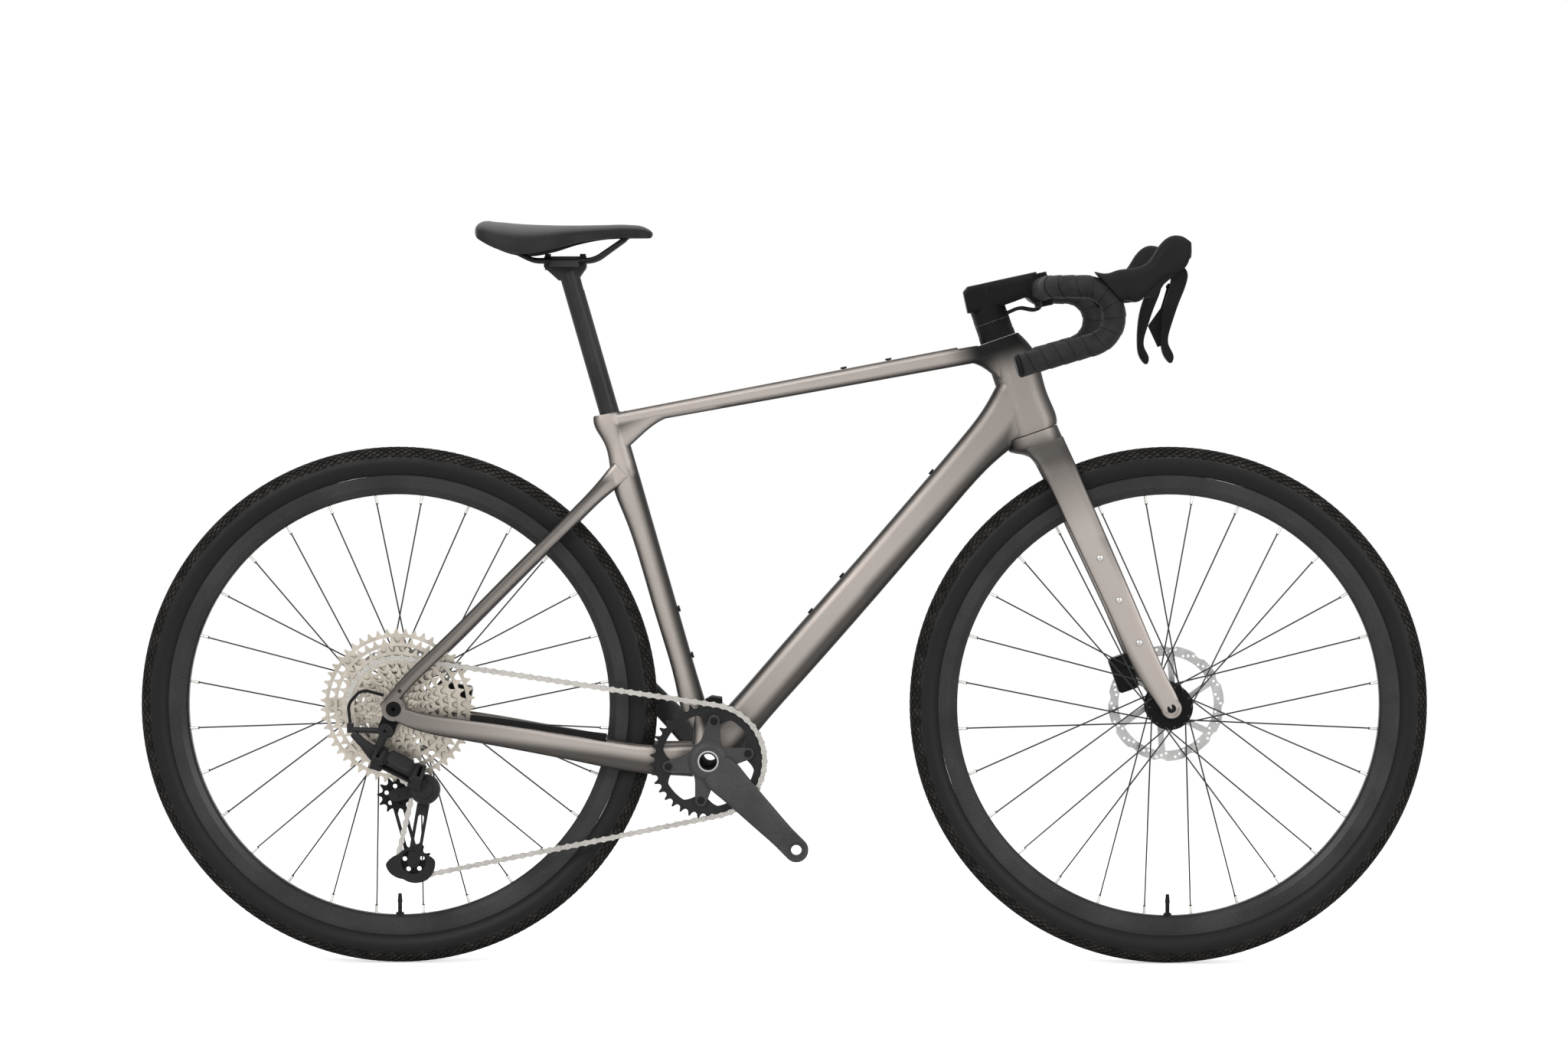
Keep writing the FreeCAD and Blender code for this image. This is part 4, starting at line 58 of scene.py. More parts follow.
CRANK_AXLE = (-102.0 * MM, 0.0, 283.0 * MM)
# Painted shade in narrow gaps: how far the ambient occlusion looks, the range it is read over, and the near
# black that it darkens to
CREASE_SHADE_REACH = 6.0 * MM
CREASE_SHADE_RANGE = (0.15, 0.95)
CREASE_SHADE_BLACK = (0.012, 0.011, 0.010)
WHITE = (1.0, 1.0, 1.0, 1.0)
WELD = 2e-6
SOLID_WELD = 1e-5
SAME_PLACE = 1e-7
LEAST_SINE = 0.01
NOISE_SPAN = (0.3, 0.7)
BLEND_SPAN = (0.35, 0.65)
FULL_SPAN = (0.0, 1.0)
GRAIN_SHARE = 0.6
CLOUD_SHARE = 0.4
BLACK_NEAR = (1.0, 1.0, 1.03)
BLACK_FAR = (1.7, 1.68, 1.7)
BLACK_SPECULAR = 0.08
FINE_DETAIL = 3.0
MACHINED_CREASE = 32.0
Colour = tuple[float, float, float]
Place = tuple[float, float, float]
Pair = tuple[float, float]
Socket = bpy.types.NodeSocket
Value = float | tuple | Socket


class Wheel(Enum):
    """The two wheels: the name's start and the axle's place along the bike."""

    REAR = ("rear", -0.529)
    FRONT = ("front", 0.529)

    @property
    def label(self) -> str:
        """The first word of the wheel's node names."""
        return self.value[0]

    @property
    def axle(self) -> np.ndarray:
        """The middle of the wheel's axle."""
        return np.array([self.value[1], 0.0, AXLE_HEIGHT])


# Material graphs


class Graph:
    """The nodes of a material or of the world, with short calls that add and join them."""

    def __init__(self, data: bpy.types.Material | bpy.types.World) -> None:
        """Starts without nodes.

        Args:
            data: the material or the world.
        """
        data.use_nodes = True
        self.data = data
        self.tree = data.node_tree
        self.tree.nodes.clear()
        self.shader: bpy.types.Node | None = None

    def show(self, surface: bpy.types.Node, output: str = "OutputMaterial") -> None:
        """Makes a shader the surface."""
        self.join(self.add(output, {}).inputs["Surface"], surface.outputs[0])

    def join(self, target: Socket, value: Value) -> None:
        """Links a socket to another, or sets its constant."""
        if isinstance(value, Socket):
            self.tree.links.new(value, target)
        else:
            target.default_value = value

    def add(self, kind: str, inputs: dict, **settings: str | bool | int) -> bpy.types.Node:
        """Adds a node.

        Args:
            kind: the node's type without its usual first letters.
            inputs: values or sockets by input name or number.
            settings: the node's own properties.

        Returns:
            The new node.
        """
        node = self.tree.nodes.new("ShaderNode" + kind)
        for key, value in settings.items():
            setattr(node, key, value)
        for key, value in inputs.items():
            self.join(node.inputs[key], value)
        return node

    def place(self, centre: Sequence[float] = (0.0, 0.0, 0.0)) -> Socket:
        """Object coordinates measured from a centre."""
        coords = self.add("TexCoord", {}).outputs["Object"]
        shift = self.add("VectorMath", {0: coords, 1: tuple(centre)}, operation="SUBTRACT")
        return shift.outputs[0]

    def parts(self, vector: Socket) -> tuple[Socket, ...]:
        """The three coordinates of a vector."""
        return tuple(self.add("SeparateXYZ", {0: vector}).outputs)

    def math(self, operation: str, first: Value, second: Value = 0.0) -> Socket:
        """One step of arithmetic."""
        return self.add("Math", {0: first, 1: second}, operation=operation).outputs[0]

    def times(self, first: Value, second: Value) -> Socket:
        """A product."""
        return self.math("MULTIPLY", first, second)

    def reach(self, vector: Socket, axis: Sequence[float]) -> Socket:
        """How far a vector goes along an axis."""
        return self.add("VectorMath", {0: vector, 1: tuple(axis)}, operation="DOT_PRODUCT").outputs["Value"]

    def noise(self, scale: float, detail: float = 2.0, vector: Value | None = None) -> Socket:
        """Noise of so many grains a metre."""
        inputs = {"Vector": vector or self.place(), "Scale": scale, "Detail": detail}
        return self.add("TexNoise", inputs).outputs[0]

    def rings(self, radius: Socket, scale: float, detail: float = 2.0) -> Socket:
        """Noise that changes with a radius alone."""
        return self.noise(scale, detail, self.add("CombineXYZ", {0: radius}).outputs[0])

    def ramp(self, value: Value, low: float, high: float, start: float = 0.0, end: float = 1.0,
             smooth: bool = True) -> Socket:
        """A value carried from one range to another.

        Args:
            value: what is carried.
            low, high: the range that it comes from.
            start, end: what it becomes at those two.
            smooth: eased at both ends.

        Returns:
            The carried value.
        """
        inputs = {"Value": value, "From Min": low, "From Max": high, "To Min": start, "To Max": end}
        kind = "SMOOTHSTEP" if smooth else "LINEAR"
        return self.add("MapRange", inputs, interpolation_type=kind).outputs[0]

    def mix(self, factor: Value, first: Value, second: Value) -> Socket:
        """A colour between two."""
        wide = [value + (1.0,) if isinstance(value, tuple) else value for value in (first, second)]
        return self.add("Mix", {0: factor, 6: wide[0], 7: wide[1]}, data_type="RGBA").outputs[2]

    def strip(self) -> tuple[Socket, ...]:
        """The coordinates that a piece's own pattern follows."""
        return self.parts(self.add("Attribute", {}, attribute_name="strip").outputs["Vector"])

    def crossing(self, along: Socket, across: Socket, pitch: float) -> list[Socket]:
        """Two sets of waves that cross each other, both of one pitch."""
        phases = [self.math(mark, along, across) for mark in ("ADD", "SUBTRACT")]
        return [self.math("SINE", self.times(phase, TURN / pitch)) for phase in phases]

    def paint(self, tint: Socket, crease_shade: float) -> None:
        """Colours the shader, with painted shade in narrow gaps.

        Args:
            tint: the colour.
            crease_shade: how far painted shade darkens it in narrow gaps, from 0 to 1.
        """
        if crease_shade:
            # painted shade: where ambient occlusion finds narrow gaps, the colour darkens to a near black
            open_share = self.add("AmbientOcclusion", {"Distance": CREASE_SHADE_REACH}, only_local=True, samples=8)
            gap = self.ramp(open_share.outputs["AO"], *CREASE_SHADE_RANGE, crease_shade, 0.0)
            tint = self.mix(gap, tint, CREASE_SHADE_BLACK)
        self.join(self.shader.inputs["Base Color"], tint)

    def raise_by(self, height: Socket, depth: float) -> None:
        """Roughens the surface by a height of at most this depth."""
        bump = self.add("Bump", {"Height": height, "Distance": depth, "Strength": 1.0})
        self.join(self.shader.inputs["Normal"], bump.outputs[0])

    def radius_from(self, axle: Sequence[float]) -> Socket:
        """Distance from an axle that runs across the bike."""
        x, _, z = self.parts(self.place(axle))
        square = self.math("ADD", self.times(x, x), self.times(z, z))
        return self.math("SQRT", square)


# Finishes


@dataclass(frozen=True)
class Finish:
    """A surface with fine grain: two near colours, a range of gloss and a little relief."""

    name: str
    colour: Colour
    shade: Colour
    metallic: float = 0.0
    gloss: Pair = (0.38, 0.50)
    grain: float = 900.0
    relief: float = 0.00003
    specular: float = 0.5
    # how much painted shade darkens narrow gaps, from 0 to 1
    crease_shade: float = 0.0
    cloud: float = 14.0

    def material(self) -> bpy.types.Material:
        """The finish as a material."""
        graph = Graph(bpy.data.materials.new(self.name))
        inputs = {"Metallic": self.metallic, "Specular IOR Level": self.specular}
        graph.shader = graph.add("BsdfPrincipled", inputs)
        graph.show(graph.shader)
        self.dress(graph)
        return graph.data

    def settle(self, graph: Graph, tint: Socket, shine: Socket, height: Socket,
               span: Pair = NOISE_SPAN) -> None:
        """Joins colour, gloss and relief to the shader.

        Args:
            graph: the material's nodes.
            tint: the colour.
            shine: what carries the roughness through its range.
            height: the relief.
            span: the shine's values at the two ends of that range.
        """
        graph.paint(tint, self.crease_shade)
        graph.join(graph.shader.inputs["Roughness"], graph.ramp(shine, *span, *self.gloss))
        graph.raise_by(height, self.relief)

    def dress(self, graph: Graph) -> None:
        """Mixes fine grain with wide clouds."""
        fine = graph.noise(self.grain, FINE_DETAIL)
        cloud = graph.noise(self.cloud)
        blend = graph.math("ADD", graph.times(fine, GRAIN_SHARE), graph.times(cloud, CLOUD_SHARE))
        self.settle(graph, graph.mix(graph.ramp(blend, *BLEND_SPAN), self.colour, self.shade), cloud, fine)


# Painted highlight bands of the tubes: lines in the side view, half widths, offset and strengths, as FlakePaint
# reads them
TUBE_HIGHLIGHT_BANDS: tuple[tuple[float, ...], ...] = (
    (-102.0, 283.0, 100.0, 516.7, 21.0, 22.0, 6.0, 0.72, 1.0),
    (100.0, 516.7, 318.0, 768.8, 21.0, 29.0, 6.5, 1.0, 0.66),
    (-235.8, 746.6, 299.0, 845.8, 11.5, 14.0, 1.5, 1.0, 0.9),
    (-102.0, 283.0, -238.2, 754.7, 16.0, 18.0, 8.0, 0.92, 1.0),
    (339.5, 729.9, 294.6, 858.3, 42.0, 34.0, -5.0, 0.62, 0.66),
    (-240.0, 690.0, -105.0, 778.0, 40.0, 34.0, 0.0, 0.9, 0.9),
    (-540.0, 353.0, -300.0, 320.4, 22.0, 23.0, -3.0, 0.34, 1.0),
    (-300.0, 320.4, -120.0, 296.0, 23.0, 26.0, -3.0, 1.0, 1.0),
    (-520.0, 352.0, -200.0, 672.0, 14.0, 13.0, 13.0, 0.34, 0.56),
    (334.0, 726.0, 404.0, 580.0, 46.0, 32.0, 11.0, -0.2, 1.0),
    (404.0, 580.0, 529.0, 350.0, 32.0, 27.0, 8.0, 1.0, 1.0),
)


@dataclass(frozen=True)
class FlakePaint(Finish):
    """Metallic paint with flakes, black at the head: a painted highlight down the middle of each tube, painted
    shade towards its edges and on faces not turned sideways, and a painted sheen on upward faces.

    Each highlight band is a line in the side view in millimetres, its half width at both ends, how far it lies
    to the left of the line, and its strength at both ends.
    """

    cloud: float = 9.0
    flake: float = 5200.0
    spark_span: Pair = (0.1, 0.95)
    # painted shade: the near black given to tube edges, to faces not turned sideways and to places outside the
    # highlight bands
    edge: Colour = (0.030, 0.028, 0.026)
    # painted highlight bands down the middle of the tubes
    highlight_bands: tuple[tuple[float, ...], ...] = TUBE_HIGHLIGHT_BANDS
    band_core: float = 0.40
    band_fade: float = 24.0
    off_band: float = 0.12
    # faces turned sideways by this much keep the paint; less turned faces fade to the painted shade
    flank: Pair = (0.40, 0.985)
    # painted sheen: faces turned upward keep up to this share of the paint
    crown: Pair = (0.80, 0.95)
    upward_sheen_share: float = 0.55
    head: Place = (0.2946, 0.0, 0.8583)
    head_rise: Pair = (-0.055, -0.012)
    head_fore: Pair = (-0.085, -0.030)
    head_black: Colour = (0.012, 0.012, 0.012)

    def band(self, graph: Graph, numbers: Sequence[float]) -> Socket:
        """One tube's painted highlight band: full at its line, gone at its half width and just past its ends.

        Args:
            graph: the material's nodes.
            numbers: one row of the bands.

        Returns:
            The band's strength at each place.
        """
        x0, z0, x1, z1, wide_start, wide_end, offset, strength_start, strength_end = numbers
        span = math.hypot(x1 - x0, z1 - z0)
        ahead, up = (x1 - x0) / span, (z1 - z0) / span
        place = graph.place((x0 * MM, 0.0, z0 * MM))
        along, across = (graph.reach(place, axis) for axis in ((ahead, 0.0, up), (-up, 0.0, ahead)))
        half = graph.ramp(along, 0.0, span * MM, wide_start * MM, wide_end * MM, False)
        away = graph.math("ABSOLUTE", graph.math("SUBTRACT", across, offset * MM))
        strength = graph.ramp(along, 0.0, span * MM, strength_start, strength_end)
        body = graph.ramp(graph.math("DIVIDE", away, half), self.band_core, 1.0, 1.0, 0.0)
        past = graph.math("ABSOLUTE", graph.math("SUBTRACT", along, 0.5 * span * MM))
        ends = graph.ramp(past, 0.5 * span * MM, (0.5 * span + self.band_fade) * MM, 1.0, 0.0)
        return graph.times(graph.times(body, strength), ends)

    def dress(self, graph: Graph) -> None:
        """Mixes the flake, the painted highlights and shade, the painted sheen on upward faces and the black
        head.
        """
        cells = graph.add("TexVoronoi", {"Vector": graph.place(), "Scale": self.flake}).outputs["Color"]
        spark, _, _ = graph.parts(cells)
        tint = graph.mix(graph.ramp(spark, *self.spark_span), self.shade, self.colour)
        # painted shade on faces not turned sideways, lifted by a painted sheen on upward faces
        _, across, upward = graph.parts(graph.add("TexCoord", {}).outputs["Normal"])
        flank = graph.ramp(graph.math("ABSOLUTE", across), *self.flank)
        crown = graph.ramp(upward, *self.crown, 0.0, self.upward_sheen_share)
        # painted highlight: the strongest band at each place
        lit = self.band(graph, self.highlight_bands[0])
        for numbers in self.highlight_bands[1:]:
            lit = graph.math("MAXIMUM", lit, self.band(graph, numbers))
        share = graph.times(flank, graph.ramp(lit, *FULL_SPAN, self.off_band, 1.0, False))
        # off the flanks and outside the bands the colour becomes the painted shade
        tint = graph.mix(graph.math("MAXIMUM", share, crown), self.edge, tint)
        rise, fore = (graph.reach(graph.place(self.head), axis) for axis in (STEER_UP, STEER_FORE))
        black_share = graph.times(graph.ramp(rise, *self.head_rise), graph.ramp(fore, *self.head_fore))
        self.settle(graph, graph.mix(black_share, tint, self.head_black), graph.noise(self.cloud), spark)


@dataclass(frozen=True)
class TurnedMetal(Finish):
    """Metal brushed in rings round an axle."""

    cloud: float = 60.0
    axle: Place = (0.0, 0.0, 0.0)
    rings: float = 2400.0
    sum_span: Pair = (0.75, 1.25)

    def dress(self, graph: Graph) -> None:
        """Mixes fine rings with wide clouds."""
        fine = graph.rings(graph.radius_from(self.axle), self.rings)
        both = graph.math("ADD", fine, graph.noise(self.cloud))
        self.settle(graph, graph.mix(graph.ramp(both, *self.sum_span), self.colour, self.shade), fine, fine)


@dataclass(frozen=True)
class PartedMetal(Finish):
    """Dark metal near an axle and bright metal further out, as spokes with their nipples are."""

    axle: Place = (0.0, 0.0, 0.0)
    bright: Colour = (0.72, 0.70, 0.67)
    bright_start: float = 0.279
    edge: float = 0.0004

    def dress(self, graph: Graph) -> None:
        """Mixes the two metals, parted by their distance from the axle."""
        outer = graph.ramp(graph.radius_from(self.axle), self.bright_start, self.bright_start + self.edge)
        fine = graph.noise(self.grain)
        dark = graph.mix(fine, self.colour, self.shade)
        graph.join(graph.shader.inputs["Metallic"], graph.ramp(outer, *FULL_SPAN, self.metallic, 1.0))
        self.settle(graph, graph.mix(outer, dark, self.bright), fine, fine)


@dataclass(frozen=True)
class TyreRubber(Finish):
    """Rubber: a plain sidewall with fine rings, and a tread that is dusty towards its shoulders."""

    axle: Place = (0.0, 0.0, 0.0)
    dust: Colour = (0.042, 0.039, 0.036)
    dust_span: Pair = (0.35, 0.75)
    cloud: float = 70.0
    rings: float = 1500.0
    tread_start: float = 0.3385
    edge: float = 0.0025

    def dress(self, graph: Graph) -> None:
        """Mixes sidewall and tread, parted by their distance from the axle."""
        radius = graph.radius_from(self.axle)
        tread = graph.ramp(radius, self.tread_start, self.tread_start + self.edge)
        fine = graph.noise(self.grain, FINE_DETAIL)
        patch = graph.noise(self.cloud, detail=4.0)
        ring = graph.rings(radius, self.rings, detail=1.0)
        wall = graph.mix(graph.ramp(ring, *BLEND_SPAN), self.colour, self.shade)
        dusty = graph.mix(graph.ramp(patch, *self.dust_span), self.shade, self.dust)
        self.settle(graph, graph.mix(tread, wall, dusty), tread, graph.math("ADD", fine, ring), FULL_SPAN)


@dataclass(frozen=True)
class WoundTape(Finish):
    """Embossed tape: two crossing sets of fine lines that follow the strip."""

    cloud: float = 55.0
    pitch: float = 0.0016

    def dress(self, graph: Graph) -> None:
        """Mixes the emboss, read from the strip's own coordinates, with wide clouds."""
        along, across, _ = graph.strip()
        emboss = graph.math("MAXIMUM", *graph.crossing(along, across, self.pitch))
        cloud = graph.noise(self.cloud, FINE_DETAIL)
        tint = graph.mix(graph.ramp(cloud, *NOISE_SPAN), self.colour, self.shade)
        self.settle(graph, tint, emboss, emboss, FULL_SPAN)


@dataclass(frozen=True)
class SaddleSkin(Finish):
    """Saddle cover: leather grain, a hatched grip patch over the rear half and a painted sheen on the upward
    faces.
    """

    pitch: float = 0.0034
    # painted sheen: the paler colour that upward faces take
    crown: Colour = (0.090, 0.090, 0.093)
    slope: Pair = (0.30, 0.95)
    patch: Pair = (-0.325, -0.285)
    hatch_span: Pair = (0.1, 0.6)
    sheen_grain: tuple[float, ...] = (0.2, 0.8, 0.75, 1.0)
    grain_share: float = 0.5

    def dress(self, graph: Graph) -> None:
        """Mixes grain, hatching and the painted sheen on upward faces."""
        x, over, _ = graph.strip()
        hatch = graph.times(*graph.crossing(x, over, self.pitch))
        rear = graph.ramp(x, self.patch[1], self.patch[0])
        grain = graph.noise(self.grain, FINE_DETAIL)
        height = graph.math("ADD", graph.times(hatch, rear), graph.times(grain, self.grain_share))
        lift = graph.times(graph.ramp(hatch, *self.hatch_span), rear)
        # painted sheen: upward faces turn paler, patchy with the grain
        _, _, upward = graph.parts(graph.add("TexCoord", {}).outputs["Normal"])
        saddle_sheen = graph.times(graph.ramp(upward, *self.slope), graph.ramp(grain, *self.sheen_grain))
        skin = graph.mix(lift, self.colour, self.shade)
        self.settle(graph, graph.mix(saddle_sheen, skin, self.crown), grain, height)


def black(name: str, level: float, gloss: Pair, metallic: float = 0.0, grain: float = 900.0,
          relief: float = 0.00003) -> Finish:
    """A black of some depth and gloss.

    Args:
        name: the finish's name.
        level: how light it is.
        gloss: its range of roughness.
        metallic, grain, relief: as in Finish.

    Returns:
        The finish.
    """
    near, far = (tuple(level * share for share in shares) for shares in (BLACK_NEAR, BLACK_FAR))
    return Finish(name, near, far, metallic, gloss, grain, relief, specular=BLACK_SPECULAR)


PAINT = FlakePaint("frame_paint", (0.400, 0.361, 0.333), (0.335, 0.303, 0.279), 0.75, (0.46, 0.54),
                   relief=0.0000005, specular=0.2)
SATIN_BLACK = black("satin_black_alloy", 0.0065, (0.36, 0.46), 0.1)
CRANK_GREY = black("crank_grey", 0.040, (0.40, 0.50), 0.35)
POST_BLACK = black("seatpost_black", 0.024, (0.34, 0.44), 0.2)
RIM_BLACK = black("rim_black", 0.030, (0.28, 0.36), 0.5)
RING_BLACK = black("chainring_black", 0.018, (0.30, 0.40), 0.3)
MECH_BLACK = black("derailleur_black", 0.018, (0.32, 0.44), 0.25)
LEVER_BLACK = black("lever_black", 0.0065, (0.24, 0.34), 0.1)
PLASTIC_BLACK = black("moulded_black", 0.007, (0.42, 0.55), grain=1500.0, relief=0.00006)
HOUSING_BLACK = black("housing_black", 0.008, (0.30, 0.42), relief=0.00002)
GUARD_BLACK = black("guard_rubber", 0.006, (0.55, 0.70), grain=1200.0, relief=0.00008)
BOLT_BLACK = black("bolt_black", 0.014, (0.25, 0.36), 0.7)
HOOD_RUBBER = black("hood_rubber", 0.0085, (0.50, 0.62), grain=1800.0, relief=0.00010)
BRIGHT_STEEL = Finish("bright_steel", (0.62, 0.61, 0.59), (0.48, 0.47, 0.46), 1.0, (0.22, 0.32))
# the chain's gaps get painted shade
CHAIN_STEEL = Finish("chain_steel", (0.60, 0.575, 0.54), (0.42, 0.40, 0.375), 1.0, (0.24, 0.36), 500.0,
                     crease_shade=0.7)
DARK_STEEL = Finish("dark_steel", (0.16, 0.16, 0.16), (0.10, 0.10, 0.10), 0.9, (0.30, 0.42))
TAPE = WoundTape("bar_tape", (0.0065, 0.0065, 0.0065), (0.014, 0.014, 0.0145), 0.0, (0.40, 0.56),
                 relief=0.00016, specular=0.25)
SADDLE_SKIN = SaddleSkin("saddle_skin", (0.010, 0.010, 0.011), (0.022, 0.022, 0.023), 0.0, (0.40, 0.50), 700.0,
                         0.00008, specular=0.15)
SPINDLE_STEEL = PartedMetal("spindle_steel", (0.006, 0.006, 0.006), (0.010, 0.010, 0.010), 0.0, (0.70, 0.80),
                            specular=0.02, axle=CRANK_AXLE, bright=(0.68, 0.66, 0.62), bright_start=0.0119)

NODE_FINISHES: dict[Finish, str] = {
    PAINT: "frame fork",
    SATIN_BLACK: "frame_bearings derailleur_hanger seatpost_wedge headset_spacers stem stem_faceplate "
                 "handlebar saddle_clamp front_hub rear_hub front_hub_bearings rear_hub_bearings front_caliper "
                 "rear_caliper front_thru_axle rear_thru_axle",
    POST_BLACK: "seatpost",
    BOLT_BLACK: "bottle_bolts stem_bolts crank_bolts saddle_rails front_valve rear_valve",
    GUARD_BLACK: "chain_guards",
    PLASTIC_BLACK: "bar_end_plugs lever_brackets saddle_shell guide_pulley tension_pulley",
    LEVER_BLACK: "right_brake_lever left_brake_lever right_shift_paddle",
    HOUSING_BLACK: "steering_hoses shift_housing",
    RIM_BLACK: "front_rim rear_rim",
    CRANK_GREY: "crank_arm_right crank_arm_left",
    SPINDLE_STEEL: "crank_spindle",
    BRIGHT_STEEL: "right_lever_carrier",
    RING_BLACK: "chainring",
    CHAIN_STEEL: "chain",
    DARK_STEEL: "freehub_body",
    MECH_BLACK: "derailleur_b_knuckle derailleur_outer_link derailleur_inner_link derailleur_p_knuckle "
                "derailleur_cage",
}


# Surfaces


@dataclass
class Shell:
    """One closed surface: points, and faces as rows of four point numbers."""

    points: np.ndarray
    faces: np.ndarray

    @staticmethod
    def grid(points: np.ndarray, wrap: tuple[bool, bool]) -> "Shell":
        """A surface over a grid of points.

        Args:
            points: array of rows, columns and three coordinates.
            wrap: whether the rows, and the columns, close on themselves.

        Returns:
            The surface.
        """
        rows, columns = points.shape[:2]
        number = np.arange(rows * columns).reshape(rows, columns)
        number = np.pad(number, ((0, int(wrap[0])), (0, int(wrap[1]))), mode="wrap")
        corners = (number[:-1, :-1], number[1:, :-1], number[1:, 1:], number[:-1, 1:])
        return Shell(points.reshape(-1, 3), np.stack(corners, axis=-1).reshape(-1, 4))

    def mirrored(self) -> "Shell":
        """The same surface on the other side of the bike."""
        return Shell(self.points * np.array([1.0, -1.0, 1.0]), self.faces)


def add_object(name: str, data: bpy.types.ID) -> bpy.types.Object:
    """A new object in the scene."""
    item = bpy.data.objects.new(name, data)
    bpy.context.scene.collection.objects.link(item)
    return item


def weld(mesh: bpy.types.Mesh, distance: float, outward: bool) -> None:
    """Merges a mesh's doubles.

    Args:
        mesh: the mesh.
        distance: how far apart doubles lie at most.
        outward: whether its faces are turned outward too.
    """
    work = bmesh.new()
    work.from_mesh(mesh)
    bmesh.ops.remove_doubles(work, verts=work.verts[:], dist=distance)
    if outward:
        bmesh.ops.recalc_face_normals(work, faces=work.faces[:])
    work.to_mesh(mesh)
    work.free()


def put(finish: Finish, *nodes: str) -> None:
    """Gives solids a finish.

    Args:
        finish: the finish.
        nodes: the solids' names.
    """
    material = finish.material()
    for name in nodes:
        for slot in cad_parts[name].material_slots:
            slot.material = material


def make_piece(name: str, shells: Sequence[Shell], finish: Finish, crease: float = 35.0,
               strip: np.ndarray | None = None) -> bpy.types.Object:
    """A new piece from closed surfaces.

    Args:
        name: the piece's name.
        shells: its surfaces.
        finish: its finish.
        crease: edges sharper than this many degrees stay crisp.
        strip: coordinates that its pattern follows, one row a point.

    Returns:
        The piece, with doubles merged and faces outward.
    """
    starts = np.cumsum([0] + [len(shell.points) for shell in shells[:-1]])
    points = np.concatenate([shell.points for shell in shells])
    faces = np.concatenate([shell.faces + start for shell, start in zip(shells, starts)])
    mesh = bpy.data.meshes.new(name)
    mesh.from_pydata(points.tolist(), [], faces.tolist())
    if strip is not None:
        layer = mesh.attributes.new("strip", "FLOAT_VECTOR", "POINT")
        layer.data.foreach_set("vector", strip.astype(np.float32).ravel())
    weld(mesh, WELD, True)
    mesh.polygons.foreach_set("use_smooth", np.ones(len(mesh.polygons), dtype=bool))
    mesh.set_sharp_from_angle(angle=math.radians(crease))
    mesh.materials.append(finish.material())
    LOG.info("%s: %d faces", name, len(mesh.polygons))
    return add_object(name, mesh)


def circle(count: int) -> np.ndarray:
    """Even angles once round."""
    return np.linspace(0.0, TURN, count, endpoint=False)


def ease(value: np.ndarray) -> np.ndarray:
    """A smooth step from 0 to 1."""
    share = np.clip(value, 0.0, 1.0)
    return share * share * (3.0 - 2.0 * share)


def curve_through(places: np.ndarray, known: np.ndarray, values: np.ndarray) -> np.ndarray:
    """Cubic curve through known values, with slopes from each value's neighbours.

    Args:
        places: where the curve is read.
        known: rising places of the known values.
        values: one row for each known place.

    Returns:
        One row for each place.
    """
    slopes = np.gradient(values, known, axis=0)
    left = np.clip(np.searchsorted(known, places) - 1, 0, len(known) - 2)
    width = known[left + 1] - known[left]
    share = ((places - known[left]) / width)[:, None]
    start, end = values[left], values[left + 1]
    lean, fall = slopes[left] * width[:, None], slopes[left + 1] * width[:, None]
    square, cube = share ** 2, share ** 3
    return (start * (2 * cube - 3 * square + 1) + lean * (cube - 2 * square + share)
            + end * (3 * square - 2 * cube) + fall * (cube - square))


def gaps(line: np.ndarray) -> np.ndarray:
    """Distances between a line's neighbouring points."""
    return np.linalg.norm(np.diff(line, axis=0), axis=1)


def spread(rows: Sequence[Sequence[float]], count: int) -> np.ndarray:
    """Rows of millimetres made dense and smooth.

    Args:
        rows: rising places along a line, then other sizes.
        count: how many rows come back.

    Returns:
        The rows in metres.
    """
    known = np.array(rows) * MM
    along = np.linspace(known[0, 0], known[-1, 0], count)
    return np.column_stack([along, curve_through(along, known[:, 0], known[:, 1:])])


def lathe(centre: Sequence[float], axis: Sequence[float], profile: np.ndarray, count: int) -> Shell:
    """A profile turned round an axis.

    Args:
        centre: where the axis starts.
        axis: its direction.
        profile: rows of radius and height, from axis to axis or closed on itself.
        count: steps round.

    Returns:
        The surface.
    """
    along = np.asarray(axis, float) / np.linalg.norm(axis)
    aside = np.cross(along, [0.0, 0.0, 1.0])
    aside /= np.linalg.norm(aside)
    third = np.cross(along, aside)
    turn = circle(count)[None, :, None]
    radius, height = profile[:, 0, None, None], profile[:, 1, None, None]
    points = np.asarray(centre, float) + height * along + radius * (np.cos(turn) * aside + np.sin(turn) * third)
    return Shell.grid(points, (False, True))


def loft(middle: np.ndarray, first: np.ndarray, second: np.ndarray, power: float, count: int = 48) -> Shell:
    """Superellipses carried along a line and closed at both ends.

    Args:
        middle: the centre of each section.
        first, second: its half axes as vectors.
        power: how square the sections are, where 2 is round.
        count: points round a section.

    Returns:
        The surface.
    """
    angle = circle(count)[None, :, None]
    reach = [np.sign(part) * np.abs(part) ** (2.0 / power) for part in (np.cos(angle), np.sin(angle))]
    body = middle[:, None] + reach[0] * first[:, None] + reach[1] * second[:, None]
    points = np.concatenate([np.broadcast_to(middle[0], (1, count, 3)), body,
                             np.broadcast_to(middle[-1], (1, count, 3))])
    return Shell.grid(points, (False, True))


